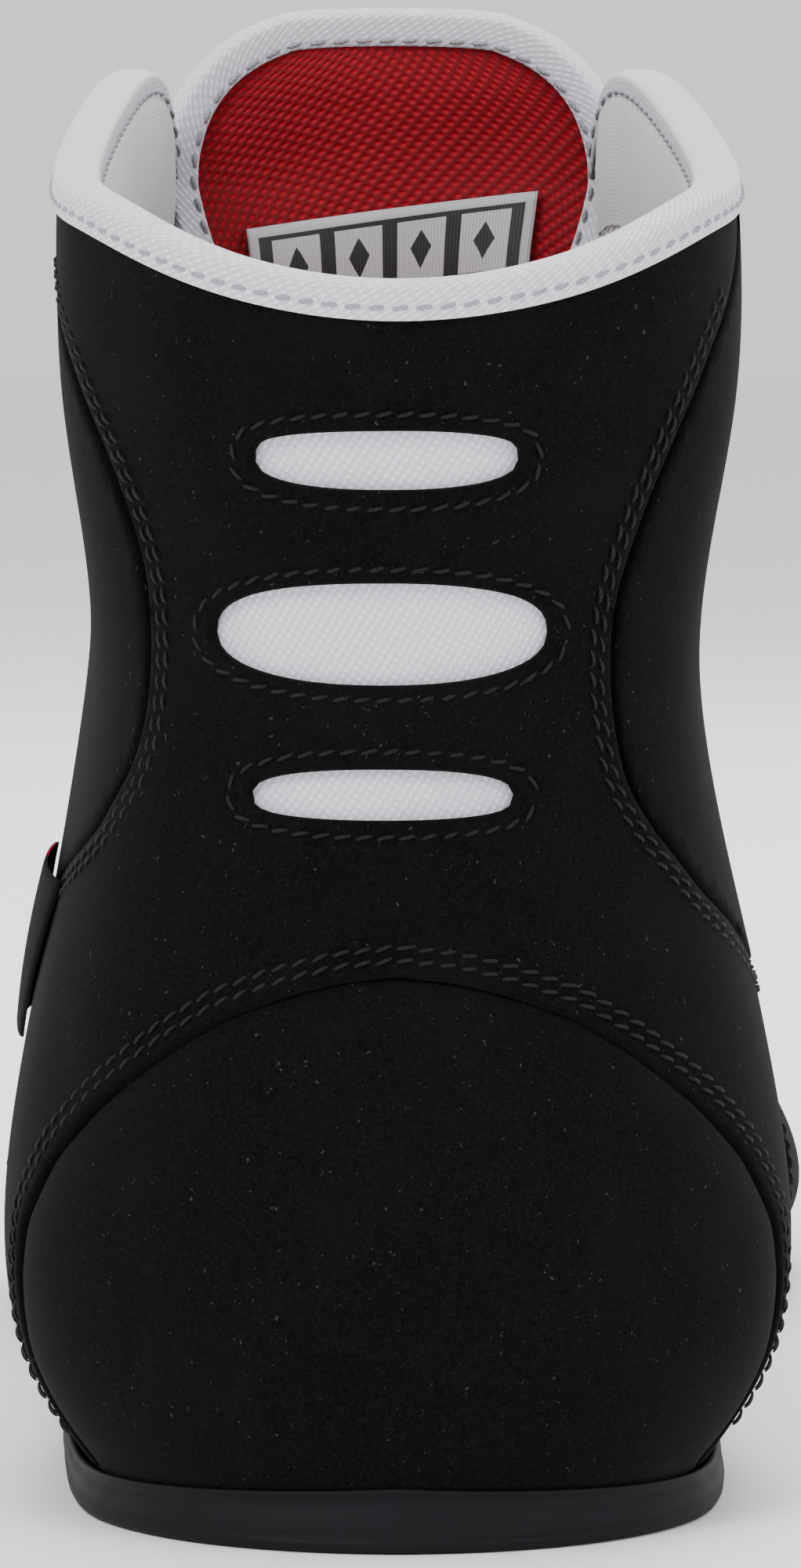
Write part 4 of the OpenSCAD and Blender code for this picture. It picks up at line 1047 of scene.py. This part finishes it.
def label_grid(r, c, out):
    k = 2 * c - 1
    z = mix(121.4, 131.3, r) + 2.0 * k
    return tongue(z, k * 17.2 - 0.4, out - 0.25 * (1 - abs(k) ** 3))


rr, cc = np.meshgrid(np.linspace(0, 1, 10), np.linspace(0, 1, 70), indexing="ij")
face, root = label_grid(rr, cc, BACK_OUT - 1.55 + 0 * rr), label_grid(rr, cc, BACK_OUT - 1.05 + 0 * rr)
flat = np.stack([(2 * cc - 1) * 17.2, mix(-4.95, 4.95, rr)], -1).reshape(-1, 2)
n = rr.size
ring = list(range(70)) + [k * 70 + 69 for k in range(1, 10)] + [630 + c for c in range(68, -1, -1)] \
    + [k * 70 for k in range(8, 0, -1)]
make("tongue_label_woven", np.vstack([face.reshape(-1, 3), root.reshape(-1, 3)]),
     [f[::-1] for f in grid_faces(10, 70)] + grid_faces(10, 70, n)
     + [[a, b, b + n, a + n] for a, b in zip(ring, ring[1:] + ring[:1])], LABEL, ("tongue_label",),
     uv=np.vstack([flat, flat]), bend=FLAP)

# ---- Lace and its keeper, on the CAD's route made smooth ----
LACE_R = 1.1
OVER_STAY = 1.3 + 0.2 + 0.4 + LACE_R + 0.8
UNDER_PANEL = -1.3 - 0.05 - 0.4 - LACE_R - 0.4


def eyelet_rib(k):
    return mix(9.3, 6, k / (EYELETS - 1))


def one(t, d, out):
    return throat_point(np.array([float(t)]), d, np.array([float(out)]))[0]


def tongue_one(z, x, out):
    return tongue(np.array(float(z)), np.array(float(x)), np.array(float(out)))


def crossing(side, k, lift):
    t0, t1 = eyelet_rib(k), eyelet_rib(k + 1)
    a = one(side * mix(t0, t1, 0.2), 0.2, OVER_STAY)
    b = one(-side * mix(t0, t1, 0.85), 0.5, UNDER_PANEL - 0.2)
    up = unit(normal(t0, TOP_ROW) + normal(-t0, TOP_ROW))
    return [one(side * t0, 5.5, OVER_STAY), a, (a + b) / 2 + (lift + k / 4) * up,
            (a + 3 * b) / 4 + (lift + k / 4) * up * 0.85, b, one(-side * t1, 5.5, UNDER_PANEL)]


def strand(side, lift):
    route = [p for k in range(EYELETS - 1) for p in crossing(side if k % 2 == 0 else -side, k, lift)]
    s, t = (side if (EYELETS - 1) % 2 == 0 else -side), eyelet_rib(EYELETS - 1)
    return route + [one(s * t, 5.5, OVER_STAY), one(s * (t - 0.2), 0.2, OVER_STAY),
                    tongue_one(121.4, s * 18, LACE_R + 1.6), tongue_one(124, s * 13, LACE_R + 0.25),
                    tongue_one(124.2, s * 6, LACE_R + 0.25), tongue_one(124.2, s * 1.8, LACE_R + 0.25)]


bar = [one(-9.3, 5.5, UNDER_PANEL), tongue_one(66, 0, LACE_R + 0.25), one(9.3, 5.5, UNDER_PANEL)]
route = np.array(strand(-1, 3)[::-1] + bar + strand(1, 5.6))
line = resample(route, 0.8)
for _ in range(5):
    line[1:-1] = (line[:-2] + 2 * line[1:-1] + line[2:]) / 4
ahead = unit(np.gradient(line, axis=0))
sides = np.zeros_like(line)
last_side = np.array([0.0, 0, 1])
for k in range(len(line)):
    last_side = unit(last_side - (last_side @ ahead[k]) * ahead[k])
    sides[k] = last_side
other = np.cross(ahead, sides)
turns = np.arange(14) * 2 * math.pi / 14
rings = line[:, None] + LACE_R * (np.cos(turns)[None, :, None] * sides[:, None]
                                  + np.sin(turns)[None, :, None] * other[:, None])
along = np.arange(len(line)) * 0.8
uv = np.stack(np.broadcast_arrays(along[:, None], (turns * LACE_R)[None]), -1)
ends = [range(13, -1, -1), range((len(line) - 1) * 14, len(line) * 14)]
make("lace_braid", rings, grid_faces(len(line), 14, wrap=True) + ends, LACE_CLOTH, ("lace",), uv=uv,
     bend=BALL)

KEEPER = ((121.2, 0.9), (121.35, 2.4), (122, 3.9), (123.4, 4.25), (125.1, 4.25), (126.5, 3.9), (127.15, 2.4),
          (127.3, 0.9))
keeper_line = resample(KEEPER, 0.4)


def keeper_grid(r, c, out):
    z = np.interp(r, np.linspace(0, 1, len(keeper_line)), keeper_line[:, 0])
    up = np.interp(r, np.linspace(0, 1, len(keeper_line)), keeper_line[:, 1])
    return tongue(z, (2 * c - 1) * 9, up + out)


shell_piece("lace_keeper_elastic", keeper_grid, 30, 60, 0.0, 0.7, ELASTIC, ("lace_keeper",), solid=True)


# ---- Sole: one rubber shell, from rim to rim under the foot ----
def rim_height(t):
    return np.where(t < 3, mix(6.2, 3.6, t / 3), np.where(t > 12, mix(3.6, 9, (t - 12) / 3), 3.6))


def row_at(t, z):
    low, high = np.zeros(t.shape), np.full(t.shape, 3.0)
    for _ in range(14):
        mid = (low + high) / 2
        under = last(t, mid)[..., 2] < z
        low, high = np.where(under, mid, low), np.where(under, high, mid)
    return low


def sole_at(t, d, z):
    """A point of the sole at height z above the spring line, d outside the upper there."""
    lift = spring(last(t, 0)[..., 1])
    h = np.where(d < 0, 0, row_at(t, z + lift))
    n = normal(t, h)
    out = unit(n * [1, 1, 0])
    p = last(t, h) + d[..., None] * out
    return np.stack([p[..., 0], p[..., 1] - BOOT_L / 2, z + lift], -1)


def sole_profile(t):
    """(distance outside, height) from the inside of the rim, over it and down to the middle of the tread."""
    gap, top = np.interp(t, (10.8, 11.5), (0.1, 2.1)), rim_height(t)
    wall, flare = gap + 0.8, np.interp(t, (0, 2, 3.5), (2.2, 1.5, 0))
    return [(gap, top - 1.4), (gap, top - 0.2), (gap + 0.2, top), (wall - 0.2, top), (wall, top - 0.25),
            (wall - 0.2, top - 0.55), (wall + 0.3 * flare, (top + 2.2) / 2), (wall + 0.75 * flare, 1.9),
            (wall - 0.1 + 0.8 * flare, 1.75), (wall - 0.15 + 0.85 * flare, 1.5),
            (wall + 0.1 + 0.95 * flare, 1.3), (wall + flare, 0.7), (wall - 0.3 + flare, 0.2),
            (wall - 1.2 + flare, 0.0), (-2.6, 0.0)]


ribs = np.concatenate([np.linspace(0, 3, 60), np.linspace(3, 12, 110)[1:], np.linspace(12, 15, 80)[1:]])
ribs = ribs[::FINE]
if ribs[-1] < 15:
    ribs = np.append(ribs, 15.0)
count = len(sole_profile(0.0))
edge = np.zeros((2, count, len(ribs), 3))
for k, side in enumerate((-1, 1)):
    table = np.array([sole_profile(float(t)) for t in ribs])
    for c in range(count):
        edge[k, c] = sole_at(side * ribs, table[:, c, 0], table[:, c, 1])
inner_l, inner_r = edge[0, -1], edge[1, -1]
under = [mix(inner_l, inner_r, s) for s in np.linspace(0, 1, 24)[1:-1]]
grid = np.stack(list(edge[0]) + under + list(edge[1][::-1]), 1)
rows, cols = grid.shape[:2]
make("outsole_rubber", grid, grid_faces(rows, cols), RUBBER, ("outsole_rear", "outsole_front"),
     uv=arc_uv(grid), bend=BALL)
plate_l, plate_r = (sole_at(k * ribs, np.full(ribs.shape, -4.0), np.full(ribs.shape, 10.2)) for k in (-1, 1))
shares = np.linspace(0, 1, 40)
bed = np.stack([mix(plate_l, plate_r, s) + [0, 0, 0.9 * abs(2 * s - 1) ** 3] for s in shares], 1)
low_bed = bed - [0, 0, 3.2]
n = bed.shape[0] * bed.shape[1]
make("insole_footbed", np.concatenate([bed.reshape(-1, 3), low_bed.reshape(-1, 3)]),
     [f[::-1] for f in grid_faces(*bed.shape[:2])] + grid_faces(*bed.shape[:2], n), FOOTBED,
     ("insole_rear", "insole_front"), uv=np.vstack([arc_uv(bed).reshape(-1, 2)] * 2), bend=BALL)

black.make("back_stitches", THREAD)

# ---- Materials of the inner CAD pieces that stay, all closed in by the rest ----
FOAM = material("foam", (0.012, 0.012, 0.014), 0.85)[0]
BOARD = material("board", (0.03, 0.027, 0.022), 0.85)[0]
STEEL = material("steel", (0.5, 0.5, 0.52), 0.35, metal=1.0)[0]
inner_finish = {"midsole_rear": FOAM, "midsole_front": FOAM, "shank": STEEL, "heel_counter": BOARD,
                "strobel_board_rear": BOARD, "strobel_board_front": BOARD, "toe_puff": BOARD}
for cad_name, finish in inner_finish.items():
    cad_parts[cad_name].data.materials.clear()
    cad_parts[cad_name].data.materials.append(finish)

# ---- Stage: a plain pale floor and soft studio light ----
floor_mesh = bpy.data.meshes.new("floor")
far = 12.0
floor_mesh.from_pydata([(-far, -far, 0), (far, -far, 0), (far, far, 0), (-far, far, 0)], [], [(0, 1, 2, 3)])
floor_mesh.materials.append(material("floor_paint", (0.97, 0.97, 0.97), 0.9)[0])
floor = bpy.data.objects.new("floor", floor_mesh)
bpy.context.scene.collection.objects.link(floor)


def area_light(name, place, size, watts, target=(0, -0.1, 0.07)):
    light = bpy.data.lights.new(name, "AREA")
    light.shape, light.size, light.energy = "DISK", size, watts
    obj = bpy.data.objects.new(name, light)
    obj.location = place
    obj.rotation_euler = (Vector(target) - Vector(place)).to_track_quat("-Z", "Y").to_euler()
    bpy.context.scene.collection.objects.link(obj)
    return obj


lights = [area_light("key", (-0.9, -1.3, 1.3), 0.9, 20), area_light("fill", (1.2, -1.1, 0.7), 1.0, 7),
          area_light("top", (0, 0.3, 1.7), 1.2, 24), area_light("rim", (0.5, 1.0, 1.0), 0.8, 8)]
world = bpy.data.worlds.new("studio")
world.use_nodes = True
world.node_tree.nodes["Background"].inputs[0].default_value = (1, 1, 1, 1)
world.node_tree.nodes["Background"].inputs[1].default_value = 1.05
bpy.context.scene.world = world
